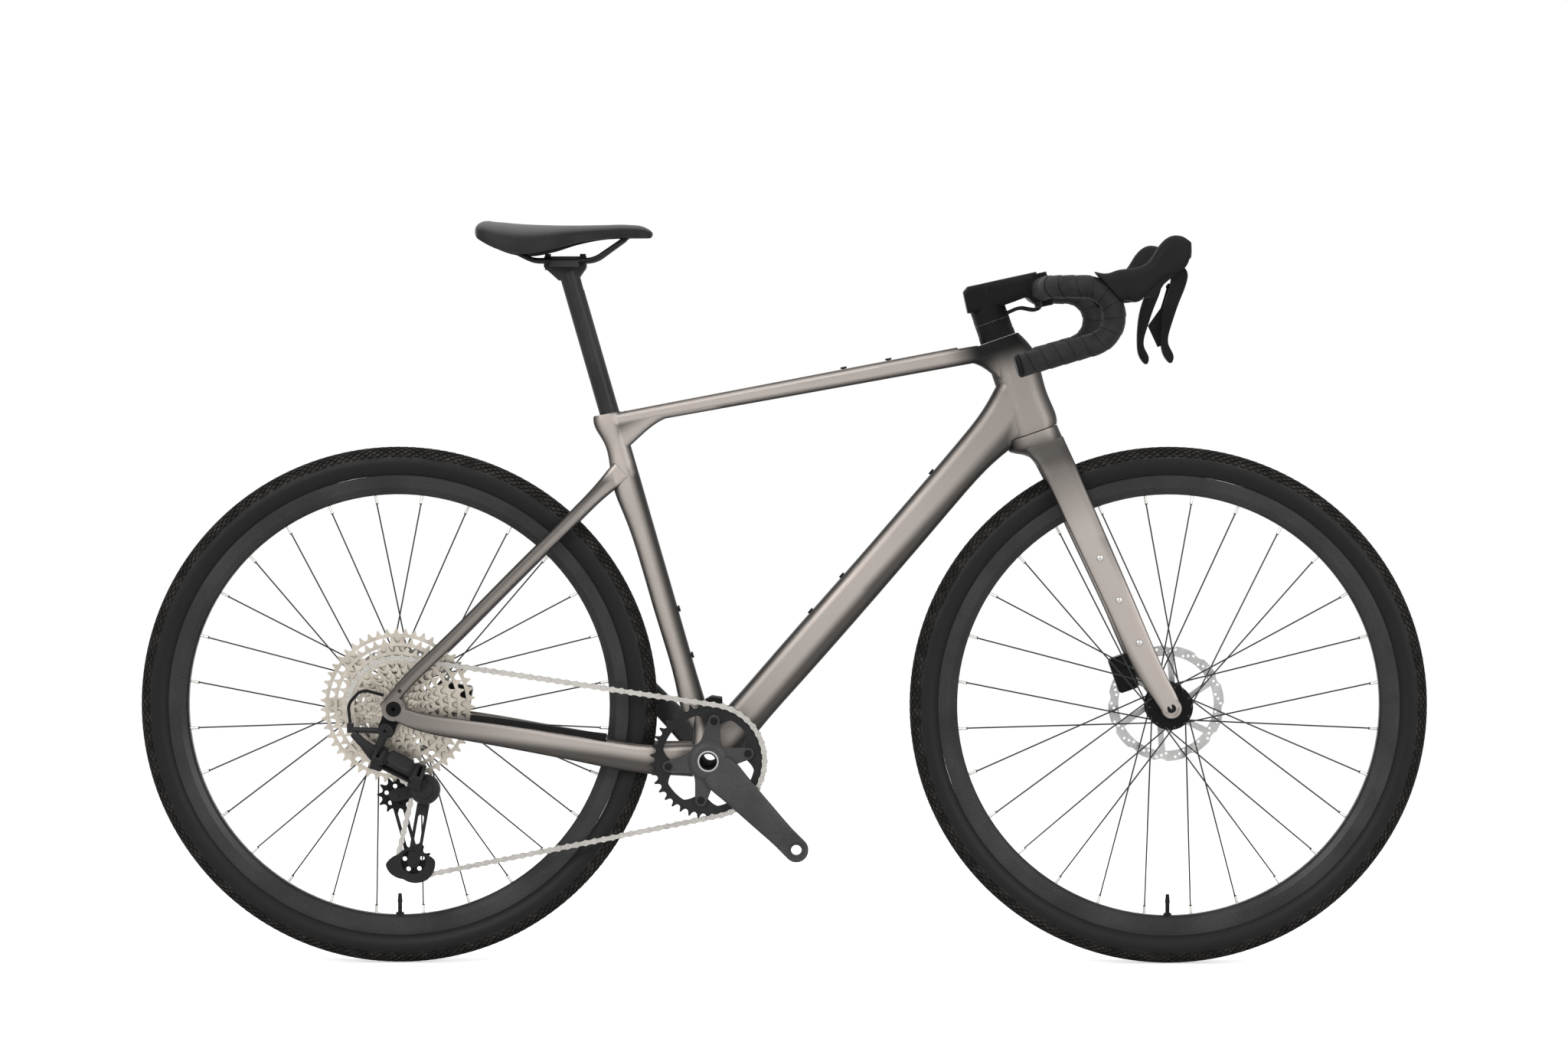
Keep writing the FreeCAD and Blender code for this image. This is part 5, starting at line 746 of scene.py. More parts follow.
def ring_plate(centre: Sequence[float], inner: np.ndarray, outer: np.ndarray, sides: Pair,
               bevel: float) -> Shell:
    """A flat ring between two outlines about an axle, with bevelled edges.

    Args:
        centre: a place on the axle.
        inner, outer: radii of the outlines at even angles.
        sides: where its right and left faces lie across the bike.
        bevel: width of the bevels.

    Returns:
        The surface.
    """
    angle = circle(len(inner))[:, None]
    right, left = sides
    half = [inner, inner + bevel, outer - bevel, outer]
    radius = np.stack(half + half[::-1], axis=1)
    across = np.array([right + bevel, right, right, right + bevel, left - bevel, left, left, left - bevel])
    x, z = centre[0] + radius * np.cos(angle), centre[2] + radius * np.sin(angle)
    points = np.stack([x, across + 0.0 * radius, z], axis=-1)
    return Shell.grid(points, (True, True))


def angle_between(angle: np.ndarray, degrees: float) -> np.ndarray:
    """Angles in radians from a direction in degrees, without sign."""
    turned = angle - math.radians(degrees)
    return np.abs((turned + math.pi) % TURN - math.pi)


# Sub-assemblies


@dataclass
class Tyre:
    """A gravel tyre: plain sidewalls and a tread of small slanted knobs in staggered rows."""

    wheel: Wheel
    radius: float = 355.5 * MM
    casing: float = 22.4 * MM
    knob: float = 2.6 * MM
    rows: int = 11
    row_angle: float = 11.6
    knobs_round: int = 202
    knob_along: float = 0.27
    knob_over: float = 0.40
    knob_top: float = 0.80
    slant: float = 0.34
    root: float = 0.8 * MM
    tread_edge: float = 62.0
    shoulder: float = 12.0
    bead: float = 137.0
    lining: float = 132.0
    wall: float = 4.6 * MM
    steps: int = 300
    outer_steps: int = 69
    inner_steps: int = 33

    def point(self, turn: np.ndarray, lean: np.ndarray, reach: np.ndarray) -> np.ndarray:
        """A place on the tyre: a circle of the casing's size carried round the wheel.

        Args:
            turn: angle round the wheel.
            lean: angle round the casing, from the crown.
            reach: distance from the casing's middle.

        Returns:
            The places as an array with three coordinates last.
        """
        middle = self.radius - self.casing
        out = middle + reach * np.cos(lean)
        across = reach * np.sin(lean) + 0.0 * turn
        place = np.stack([out * np.cos(turn), across, out * np.sin(turn)], axis=-1)
        return place + self.wheel.axle

    def casing_shell(self) -> Shell:
        """The casing: full at the sidewalls, lower by a knob's height under the tread, hollow inside."""
        outer = np.radians(np.linspace(-self.bead, self.bead, self.outer_steps))
        drop = self.knob * (1.0 - ease((np.abs(np.degrees(outer)) - self.tread_edge) / self.shoulder))
        inner = np.radians(np.linspace(self.lining, -self.lining, self.inner_steps))
        lean = np.concatenate([outer, inner])
        reach = np.concatenate([self.casing - drop, np.full_like(inner, self.casing - self.wall)])
        turn = circle(self.steps)
        return Shell.grid(self.point(turn[:, None], lean[None, :], reach[None, :]), (True, True))

    def knob_shell(self) -> Shell:
        """The knobs: six-sided blocks on the tread, slanted one way on each side of the crown."""
        row = np.arange(self.rows) - (self.rows - 1) / 2
        pitch = TURN / self.knobs_round
        turn = pitch * (np.arange(self.knobs_round)[None, :] + 0.5 * (np.arange(self.rows)[:, None] % 2))
        lean = np.radians(row * self.row_angle)[:, None] + 0.0 * turn
        corner_along, corner_over = np.tile([-1.0, 1.0, 1.0, -1.0], 2), np.tile([-1.0, -1.0, 1.0, 1.0], 2)
        taper, top = np.repeat([1.0, self.knob_top], 4), np.repeat([0.0, 1.0], 4)
        slant = self.slant * np.sign(row)[:, None, None] * corner_over
        half_along = (self.knob_along * pitch) * (corner_along * taper + slant)
        half_over = math.radians(self.knob_over * self.row_angle) * corner_over * taper
        reach = self.casing - self.knob - self.root + top * (self.knob + self.root)
        points = self.point(turn[..., None] + half_along, lean[..., None] + half_over, reach + 0.0 * half_over)
        count = self.rows * self.knobs_round
        box = np.array([(4, 5, 6, 7), (3, 2, 1, 0), (0, 1, 5, 4), (1, 2, 6, 5), (2, 3, 7, 6), (3, 0, 4, 7)])
        faces = (np.arange(count)[:, None, None] * 8 + box).reshape(-1, 4)
        return Shell(points.reshape(-1, 3), faces)

    def build(self) -> None:
        """Makes the tyre and puts it in place of its solid."""
        # the gaps between the knobs get painted shade
        finish = TyreRubber(f"{self.wheel.label}_tyre_rubber", (0.007, 0.007, 0.0073), (0.012, 0.0117, 0.0113),
                            0.0, (0.46, 0.74), 1400.0, 0.00006, specular=0.15, crease_shade=0.9,
                            axle=tuple(self.wheel.axle))
        name = f"{self.wheel.label}_tyre_tread"
        piece = make_piece(name, [self.casing_shell(), self.knob_shell()], finish, crease=40.0)
        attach(piece, f"{self.wheel.label}_wheel")
        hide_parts(f"{self.wheel.label}_tyre")


@dataclass
class WheelMetal:
    """Finishes of a wheel's spokes and rotor, and of the cassette at the rear."""

    wheel: Wheel

    def dress(self) -> None:
        """Gives the wheel's metal its finishes."""
        axle = tuple(self.wheel.axle)
        label = self.wheel.label
        spokes = PartedMetal(f"{label}_spokes", (0.018, 0.018, 0.018), (0.035, 0.035, 0.035), 0.6, (0.28, 0.40),
                             axle=axle)
        rotor = TurnedMetal(f"{label}_rotor_steel", (0.42, 0.42, 0.42), (0.52, 0.52, 0.51), 1.0, (0.22, 0.38),
                            relief=0.00004, axle=axle)
        put(spokes, f"{label}_spokes")
        put(rotor, f"{label}_rotor")
        if self.wheel is Wheel.REAR:
            # the gaps between the cogs get painted shade
            cogs = TurnedMetal("cassette_nickel", (0.57, 0.52, 0.45), (0.45, 0.41, 0.35), 1.0, (0.26, 0.38),
                               relief=0.00003, crease_shade=0.85, axle=axle)
            put(cogs, "cassette")


@dataclass
class BarTape:
    """Tape wound round each half of the handlebar, from the stem to the end of the drop."""

    bar: Pair = (353.03 * MM, 925.87 * MM)
    half_width: float = 212.0 * MM
    bend: float = 45.0 * MM
    reach: float = 86.0 * MM
    hook: float = 40.0 * MM
    flare: float = 12.0
    rise: float = 16.5
    drop: float = 99.0 * MM
    start: float = 50.2 * MM
    core: float = 14.55 * MM
    lap: float = 1.05 * MM
    pitch: float = 19.0 * MM
    steps: int = 44
    dense: int = 80
    settled: float = 0.4
    lead_turns: int = 2
    spare_turns: int = 5

    def line(self) -> np.ndarray:
        """Points down the middle of the right half: top, bend, ramp, hook and lower grip."""
        x, z = self.bar
        flare, rise = math.radians(self.flare), math.radians(self.rise)
        down = np.array([0.0, -math.sin(flare), -math.cos(flare)])
        fore = np.array([1.0, 0.0, 0.0])
        share = np.linspace(0.0, 1.0, self.dense, endpoint=False)[:, None]
        corner = np.array([x, self.bend - self.half_width, z])
        top = np.array([x, -self.start, z]) * (1 - share) + corner * share
        angle = share * math.pi / 2
        middle = np.array([x + self.bend, self.bend - self.half_width, z])
        bend = middle + self.bend * (-np.cos(angle) * fore + np.sin(angle) * RIGHT)
        ramp_end = np.array([x + self.reach - self.hook, -self.half_width, z])
        ramp = np.array([x + self.bend, -self.half_width, z]) * (1 - share) + ramp_end * share
        centre = ramp_end + self.hook * down
        sweep = share * (math.pi - rise)
        hook = centre + self.hook * (np.sin(sweep) * fore - np.cos(sweep) * down)
        foot = centre + self.hook * (math.sin(rise) * fore + math.cos(rise) * down)
        back = -math.cos(rise) * fore + math.sin(rise) * down
        grip = foot + np.linspace(0.0, self.drop, self.dense)[:, None] * back
        return np.concatenate([top, bend, ramp, hook, grip])

    def frames(self, distance: np.ndarray) -> tuple[np.ndarray, ...]:
        """Middle, side and upper direction at distances along the line.

        Args:
            distance: lengths from the start of the line.

        Returns:
            Arrays of the middle, the side and the upper direction.
        """
        line = self.line()
        line = line[np.append(True, gaps(line) > SAME_PLACE)]
        length = np.append(0.0, np.cumsum(gaps(line)))
        heading = np.gradient(line, length, axis=0)
        heading /= np.linalg.norm(heading, axis=1)[:, None]
        flare = math.radians(self.flare)
        level = np.cross([0.0, 0.0, 1.0], heading)
        tilted = np.array([0.0, math.cos(flare), -math.sin(flare)])
        past = ease((line[:, 0] - self.bar[0] - self.settled * self.bend) / ((1.0 - self.settled) * self.bend))
        past = np.maximum.accumulate(past)[:, None]
        side = level * (1 - past) + tilted * past
        side -= np.sum(side * heading, axis=1)[:, None] * heading
        side /= np.linalg.norm(side, axis=1)[:, None]
        upper = np.cross(heading, side)
        return tuple(np.stack([np.interp(distance, length, part[:, k]) for k in range(3)], axis=-1)
                     for part in (line, side, upper))

    def wound(self) -> tuple[Shell, np.ndarray]:
        """The tape's surface: a step that winds along the line, each turn lapped over the last.

        Returns:
            The surface of the right half, and its strip coordinates.
        """
        whole = float(np.sum(gaps(self.line())))
        turns = int(whole / self.pitch) + self.spare_turns
        across = np.array([0.0, 0.03, 0.10, 0.30, 0.55, 0.80, 0.95, 1.0])
        height = np.array([0.0, 0.30, 0.42, 0.62, 0.80, 0.95, 1.0, 0.86])
        index = np.arange(turns * self.steps + 1)[:, None]
        wrap = index / self.steps - self.lead_turns + across[None, :]
        angle = TURN * index / self.steps + 0.0 * wrap
        distance = wrap * self.pitch
        inside = (distance > -0.5 * self.pitch) & (distance < whole + 0.5 * self.pitch)
        radius = np.where(inside, self.core + self.lap * height[None, :], 0.0)
        middle, side, upper = self.frames(np.clip(distance, 0.0, whole))
        out = np.cos(angle)[..., None] * side + np.sin(angle)[..., None] * upper
        points = middle + radius[..., None] * out
        shell = Shell.grid(points, (False, False))
        count = len(across)
        number = np.arange(points.shape[0] * count).reshape(-1, count)
        edge, foot = number[:-self.steps, -1], number[self.steps:, 0]
        steps = np.stack([edge[:-1], edge[1:], foot[1:], foot[:-1]], axis=-1)
        faces = np.concatenate([shell.faces, steps])
        strip = np.stack([angle * self.core, across[None, :] * self.pitch + 0.0 * angle, 0.0 * angle], axis=-1)
        return Shell(shell.points, faces), strip.reshape(-1, 3)

    def build(self) -> None:
        """Makes the tape of both halves and puts it in place of its solid."""
        right, strip = self.wound()
        strips = np.concatenate([strip, strip])
        piece = make_piece("bar_tape_wraps", [right, right.mirrored()], TAPE, crease=30.0, strip=strips)
        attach(piece, "steering")
        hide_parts("bar_tape")


@dataclass
class Hoods:
    """Rubber hoods of the brake levers: the solids with their edges softened."""

    voxel: float = 1.4 * MM
    passes: int = 6
    pull: float = 0.5

    def build(self) -> None:
        """Makes the soft hoods and puts them in place of their solid."""
        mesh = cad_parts["lever_hoods"].data.copy()
        mesh.name = "soft_hoods"
        weld(mesh, SOLID_WELD, False)
        piece = add_object("soft_hoods", mesh)
        mesh.materials.clear()
        mesh.materials.append(HOOD_RUBBER.material())
        remesh = piece.modifiers.new("even_skin", "REMESH")
        remesh.mode = "VOXEL"
        remesh.voxel_size = self.voxel
        remesh.use_smooth_shade = True
        soften = piece.modifiers.new("soft_edges", "SMOOTH")
        soften.factor = self.pull
        soften.iterations = self.passes
        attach(piece, "steering")
        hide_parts("lever_hoods")


@dataclass
class Saddle:
    """The saddle's cushion: crowned sections from tail to nose over a hollow underside."""

    clamp: float = -299.14 * MM
    length: float = 243.0 * MM
    width: float = 145.0 * MM
    height: float = 1015.0 * MM
    roundness: float = 3.15
    tail_round: float = 0.030
    nose_round: float = 0.022
    skirt: float = 5.0 * MM
    hollow_half: float = 0.62
    hollow_rise: float = 0.66
    clamp_share: float = 0.506
    stations: int = 110
    steps: int = 72
    hollow_steps: int = 30

    def sections(self) -> np.ndarray:
        """Share of the length from the tail, half width as a share, top and skirt in millimetres."""
        return np.array([
            (0.0, 0.70, -1.5, -16), (0.05, 0.86, 4.6, -24), (0.13, 0.97, 3.6, -34), (0.27, 1.00, 0.8, -41),
            (0.42, 0.84, -0.6, -36), (0.57, 0.53, -0.8, -26), (0.72, 0.36, -0.2, -19.5), (0.86, 0.29, 0.2, -18),
            (0.95, 0.24, -2.6, -18), (1.0, 0.15, -9.0, -18),
        ])

    def shell(self) -> tuple[Shell, np.ndarray]:
        """Superellipse over the top and a parabola below, both narrowed to a rounded tail and nose.

        Returns:
            The surface, and for each point its place along the saddle and its distance round the section.
        """
        known = self.sections()
        share = 0.5 - 0.5 * np.cos(np.linspace(0.0, math.pi, self.stations))
        half, top, skirt = curve_through(share, known[:, 0], known[:, 1:]).T
        half, top, skirt = half * self.width / 2, self.height + top * MM, self.height + skirt * MM
        close = np.minimum(share / self.tail_round, (1.0 - share) / self.nose_round)
        close = np.sqrt(np.clip(1.0 - (1.0 - np.clip(close, 0.0, 1.0)) ** 2, 0.0, 1.0))[:, None]
        angle = np.linspace(0.0, math.pi, self.steps)[None, :]
        power = 2.0 / self.roundness
        over = np.sign(np.cos(angle)) * np.abs(np.cos(angle)) ** power
        rise = (top - skirt)[:, None]
        outer_z = skirt[:, None] + rise * np.abs(np.sin(angle)) ** power
        inner = np.maximum(half - self.skirt, self.hollow_half * half)[:, None]
        back = np.linspace(-1.0, 1.0, self.hollow_steps)[None, :]
        inner_z = skirt[:, None] + self.hollow_rise * rise * (1.0 - back ** 2)
        y = np.concatenate([half[:, None] * over, inner * back], axis=1) * close
        middle = skirt[:, None] + self.hollow_rise * rise
        z = middle + (np.concatenate([outer_z, inner_z], axis=1) - middle) * close
        x = self.clamp + (share[:, None] - self.clamp_share) * self.length + 0.0 * y
        points = np.stack([x, y, z], axis=-1)
        run = np.cumsum(np.linalg.norm(np.diff(points, axis=1, prepend=points[:, :1]), axis=2), axis=1)
        round_it = run - run[:, self.steps // 2, None]
        strip = np.stack([x, round_it, 0.0 * x], axis=-1)
        return Shell.grid(points, (False, True)), strip.reshape(-1, 3)

    def build(self) -> None:
        """Makes the cushion and puts it in place of its solid."""
        shell, strip = self.shell()
        piece = make_piece("saddle_cushion", [shell], SADDLE_SKIN, crease=60.0, strip=strip)
        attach(piece, "saddle")
        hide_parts("saddle_padding")


@dataclass
class ForkBolts:
    """Button-head bolts in the outer face of the right fork leg."""

    places: tuple[Pair, ...] = ((431.5, 560.3), (457.7, 503.0), (484.9, 445.1))
    head: float = 4.6 * MM
    socket: float = 2.1 * MM
    seen_from: float = -0.4

    def build(self) -> None:
        """Makes the bolts where they meet the leg."""
        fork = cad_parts["fork"]
        head, socket = self.head, self.socket
        profile = np.array([
            (0.0, -1.0 * MM), (head, -1.0 * MM), (head, 0.5 * MM), (head * 0.92, 1.3 * MM),
            (head * 0.7, 2.0 * MM), (socket, 2.3 * MM), (socket * 0.98, 0.9 * MM), (0.0, 0.7 * MM),
        ])
        shells = []
        for x, z in self.places:
            start = Vector((x * MM, self.seen_from, z * MM))
            hit, spot, normal, _ = fork.ray_cast(start, Vector((0.0, 1.0, 0.0)))
            assert hit, "a fork bolt misses the leg"
            shells.append(lathe(tuple(spot), tuple(normal), profile, count=24))
        piece = make_piece("fork_bolts", shells, BRIGHT_STEEL)
        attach(piece, "steering")


@dataclass
class Fork:
    """The fork's shell: a round crown that turns in the frame, and two flat-sided legs with round tips."""

    crown: Place = (339.45 * MM, 0.0, 729.94 * MM)
    up: Place = STEER_UP
    fore: Place = STEER_FORE
    crown_power: float = 3.4
    leg_power: float = 5.0
    steps: int = 64

    def crown_shell(self) -> Shell:
        """The crown: half a circle behind the steering axis, and a squarer half in front of it."""
        depth, rear, front, half = spread([
            (1.2, 36.2, 37.4, 36.2), (9, 36.2, 38.0, 36.3), (15, 36.0, 38.5, 36.5), (20, 29, 38.9, 36.6),
            (25, 20, 39.3, 36.4), (32, 12, 39.8, 35.5), (40, 8, 40.3, 34), (46, 6, 40.6, 30)], count=30).T
        angle = circle(self.steps)[None, :]
        cos, sin = np.cos(angle), np.sin(angle)
        square = 2.0 / np.where(cos > 0.0, self.crown_power, 2.0)
        reach = np.abs(cos) ** square * np.where(cos > 0.0, front[:, None], -rear[:, None])
        across = half[:, None] * np.sign(sin) * np.abs(sin) ** square
        flat = np.asarray(self.crown) - depth[:, None, None] * np.asarray(self.up)
        points = flat + reach[..., None] * np.asarray(self.fore) - across[..., None] * RIGHT
        caps = [np.broadcast_to(flat[end], (1, self.steps, 3)) for end in (0, -1)]
        return Shell.grid(np.concatenate([caps[0], points, caps[1]]), (False, True))

    def leg_shell(self) -> Shell:
        """The right leg: rounded rectangles from inside the crown to the axle."""
        depth, back, front, near, far = spread([
            (18, -17, 38.8, 12, 36.2), (30, -12.5, 39.8, 16, 38.6), (38, -8.5, 40.4, 20, 41.6),
            (46, -6.2, 41.0, 25, 45.0), (53, -5.0, 41.5, 29.7, 48.0), (60, -3.9, 42.0, 31.5, 50.2),
            (71, -2.3, 42.6, 33.0, 52.0), (132, 4.2, 46.9, 35.7, 53.2), (250, 16.9, 55.3, 42.0, 57.5),
            (374, 30.4, 64.4, 49.1, 61.7), (403, 38.5, 68.5, 50, 62), (418, 42.0, 69.0, 50, 62)], count=90).T
        fore = np.asarray(self.fore)
        middle = (np.asarray(self.crown) - depth[:, None] * np.asarray(self.up)
                  + 0.5 * (back + front)[:, None] * fore + 0.5 * (near + far)[:, None] * RIGHT)
        halves = 0.5 * (front - back)[:, None] * fore, 0.5 * (far - near)[:, None] * RIGHT
        return loft(middle, *halves, self.leg_power, self.steps)

    def tip_shell(self) -> Shell:
        """The right tip: a disc with the axle's hole and a sunk face."""
        profile = np.array([(6.2, 50), (13, 50), (14, 51), (14, 61), (13, 62), (10.3, 62), (10.3, 59.8),
                            (6.2, 59.8), (6.2, 50)]) * MM
        return lathe(Wheel.FRONT.axle, RIGHT, profile, self.steps)

    def build(self) -> None:
        """Makes the shell and puts it in place of the solid."""
        right = [self.leg_shell(), self.tip_shell()]
        shells = [self.crown_shell(), *right, *[shell.mirrored() for shell in right]]
        piece = make_piece("fork_shell", shells, PAINT, crease=40.0)
        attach(piece, "steering")
        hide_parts("fork")


@dataclass
class TopTubeCowl:
    """The top tube's upper skin, carried on to the edge of the headset cover."""

    def build(self) -> None:
        """Makes the cowl: flat-topped sections along the tube's upper line."""
        stations = np.array([(222, 834.0, 20.5, 8.0), (232, 836.5, 20.8, 7.6), (246, 839.6, 21.4, 6.9),
                             (258, 842.6, 21.8, 6.0), (266, 845.2, 21.0, 4.6)]) * MM
        x, z, half, rise = stations.T
        none = 0.0 * x
        shell = loft(np.stack([x, none, z], axis=-1), np.stack([none, half, none], axis=-1),
                     np.stack([none, none, rise], axis=-1), power=4.0)
        piece = make_piece("top_tube_cowl", [shell], PAINT, crease=50.0)
        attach(piece, "frame")


@dataclass
class Crankset:
    """The right crank with its four-armed spider, and the web of the chainring."""

    axle: Place = CRANK_AXLE
    length: float = 170.0 * MM
    angle: float = -45.0
    bolt_turns: tuple[float, ...] = (55.5, 126.8, -126.8, -55.5)
    bolt_circle: float = 55.0 * MM
    eyelet: float = 8.5 * MM
    arm_power: float = 5.5
    end: float = 16.4 * MM
    end_reach: float = 26.0 * MM
    end_hole: float = 10.3 * MM
    end_sides: Pair = (-75.1 * MM, -62.35 * MM)
    flank: float = 18.3 * MM
    flank_taper: float = 0.18
    hub: float = 27.0 * MM
    hub_hole: float = 20.0 * MM
    hub_blend: int = 8
    spider_sides: Pair = (-57.0 * MM, -51.5 * MM)
    web: Pair = (66.5 * MM, 71.4 * MM)
    web_sides: Pair = (-51.6 * MM, -47.9 * MM)
    lobe: float = 19.0 * MM
    lobe_turn: float = 17.0
    lobe_power: float = 2.2

    @property
    def ahead(self) -> np.ndarray:
        """The arm's direction."""
        turn = math.radians(self.angle)
        return np.array([math.cos(turn), 0.0, math.sin(turn)])

    @property
    def eye(self) -> np.ndarray:
        """The pedal eye's place on the bike's middle plane."""
        return np.asarray(self.axle) + self.length * self.ahead

    def arm_shell(self) -> Shell:
        """The arm: rounded rectangles that taper from the hub and step outward to the pedal eye."""
        along, side, thick, wide = spread([
            (14, 55.0, 16.0, 46), (24, 55.6, 16.6, 50), (34, 56.8, 16.6, 50), (51, 58.9, 16.5, 46.5),
            (102, 64.9, 14.0, 39), (144, 68.2, 13.0, 33.4), (152, 68.5, 13.0, 32.8)], count=40).T
        ahead = self.ahead
        over = np.array([-ahead[2], 0.0, ahead[0]])
        middle = np.asarray(self.axle) + along[:, None] * ahead + side[:, None] * RIGHT
        return loft(middle, 0.5 * wide[:, None] * over, 0.5 * thick[:, None] * RIGHT, self.arm_power)

    def eye_shell(self) -> Shell:
        """The pedal eye: the arm's flanks carried on to a round end, open at the thread."""
        angle = circle(180)
        away = angle_between(angle, self.angle + 180.0)
        flank = self.end / np.maximum(np.sin(away), LEAST_SINE)
        outer = np.where(away < math.pi / 2, np.minimum(flank, self.end_reach), self.end)
        return ring_plate(self.eye, np.full_like(angle, self.end_hole), outer, self.end_sides, bevel=0.9 * MM)

    def thread_shell(self) -> Shell:
        """The sunk ring round the pedal's thread."""
        profile = np.array([(7.14, 62.5), (10.8, 62.5), (10.8, 73.6), (7.14, 73.6), (7.14, 62.5)]) * MM
        return lathe(self.eye, RIGHT, profile, count=56)

    def hub_shell(self) -> Shell:
        """The hub: a stepped boss round the spindle."""
        profile = np.array([(12.1, 45.85), (19, 45.85), (21, 48), (26, 51), (28, 54), (28, 57), (25, 60.2),
                            (22, 62.3), (19, 62.85), (14.6, 62.85), (14.6, 62.2), (12.1, 62.2),
                            (12.1, 45.85)]) * MM
        return lathe(self.axle, RIGHT, profile, count=72)

    def spider_shell(self) -> Shell:
        """The spider: arms that narrow from the hub to round ends at the bolts.

        Along a direction that leaves an arm by an angle, the flank lies at its width over the angle's sine plus
        its taper, and the end at the far side of a circle about the bolt. The nearer counts. It is smoothed
        into the hub.
        """
        angle = circle(360)
        reach = np.zeros_like(angle)
        for turn in self.bolt_turns:
            away = angle_between(angle, turn + self.angle)
            sine = np.where(away < math.pi / 2, np.sin(away), 1.0)
            flank = self.flank / (sine + self.flank_taper)
            inside = np.clip(self.eyelet ** 2 - (self.bolt_circle * sine) ** 2, 0.0, None)
            end = np.where(inside > 0.0, self.bolt_circle * np.cos(away) + np.sqrt(inside), self.bolt_circle)
            reach = np.maximum(reach, np.minimum(flank, end))
        reach = (reach ** self.hub_blend + self.hub ** self.hub_blend) ** (1.0 / self.hub_blend)
        hole = np.full_like(angle, self.hub_hole)
        return ring_plate(self.axle, hole, reach, self.spider_sides, bevel=1.5 * MM)

    def web_shell(self) -> Shell:
        """The chainring's web: its inner edge dips towards each bolt in a smooth lobe."""
        angle = circle(360)
        dip = np.zeros_like(angle)
        for turn in self.bolt_turns:
            away = np.degrees(angle_between(angle, turn + self.angle))
            dip = np.maximum(dip, np.exp(-(away / self.lobe_turn) ** self.lobe_power))
        inner = self.web[0] - self.lobe * dip
        outer = np.full_like(angle, self.web[1])
        return ring_plate(self.axle, inner, outer, self.web_sides, bevel=0.7 * MM)

    def build(self) -> None:
        """Makes the crank in place of its solid, and the web and the bright cap ring beside it."""
        shells = [self.arm_shell(), self.eye_shell(), self.thread_shell(), self.hub_shell(),
                  self.spider_shell()]
        crank = make_piece("crank_and_spider", shells, CRANK_GREY, MACHINED_CREASE)
        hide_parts("crank_arm_right")
        web = make_piece("chainring_web", [self.web_shell()], RING_BLACK, MACHINED_CREASE)
        profile = np.array([(12.1, 62.2), (14.5, 62.2), (14.5, 63.0), (14.1, 63.4), (12.5, 63.4), (12.1, 63.0),
                            (12.1, 62.2)]) * MM
        cap = lathe(self.axle, RIGHT, profile, count=56)
        ring = make_piece("crank_cap_ring", [cap], BRIGHT_STEEL, MACHINED_CREASE)
        for piece, slot in ((crank, "black_alloy"), (web, "black_alloy"), (ring, "steel")):
            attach(piece, "crank")


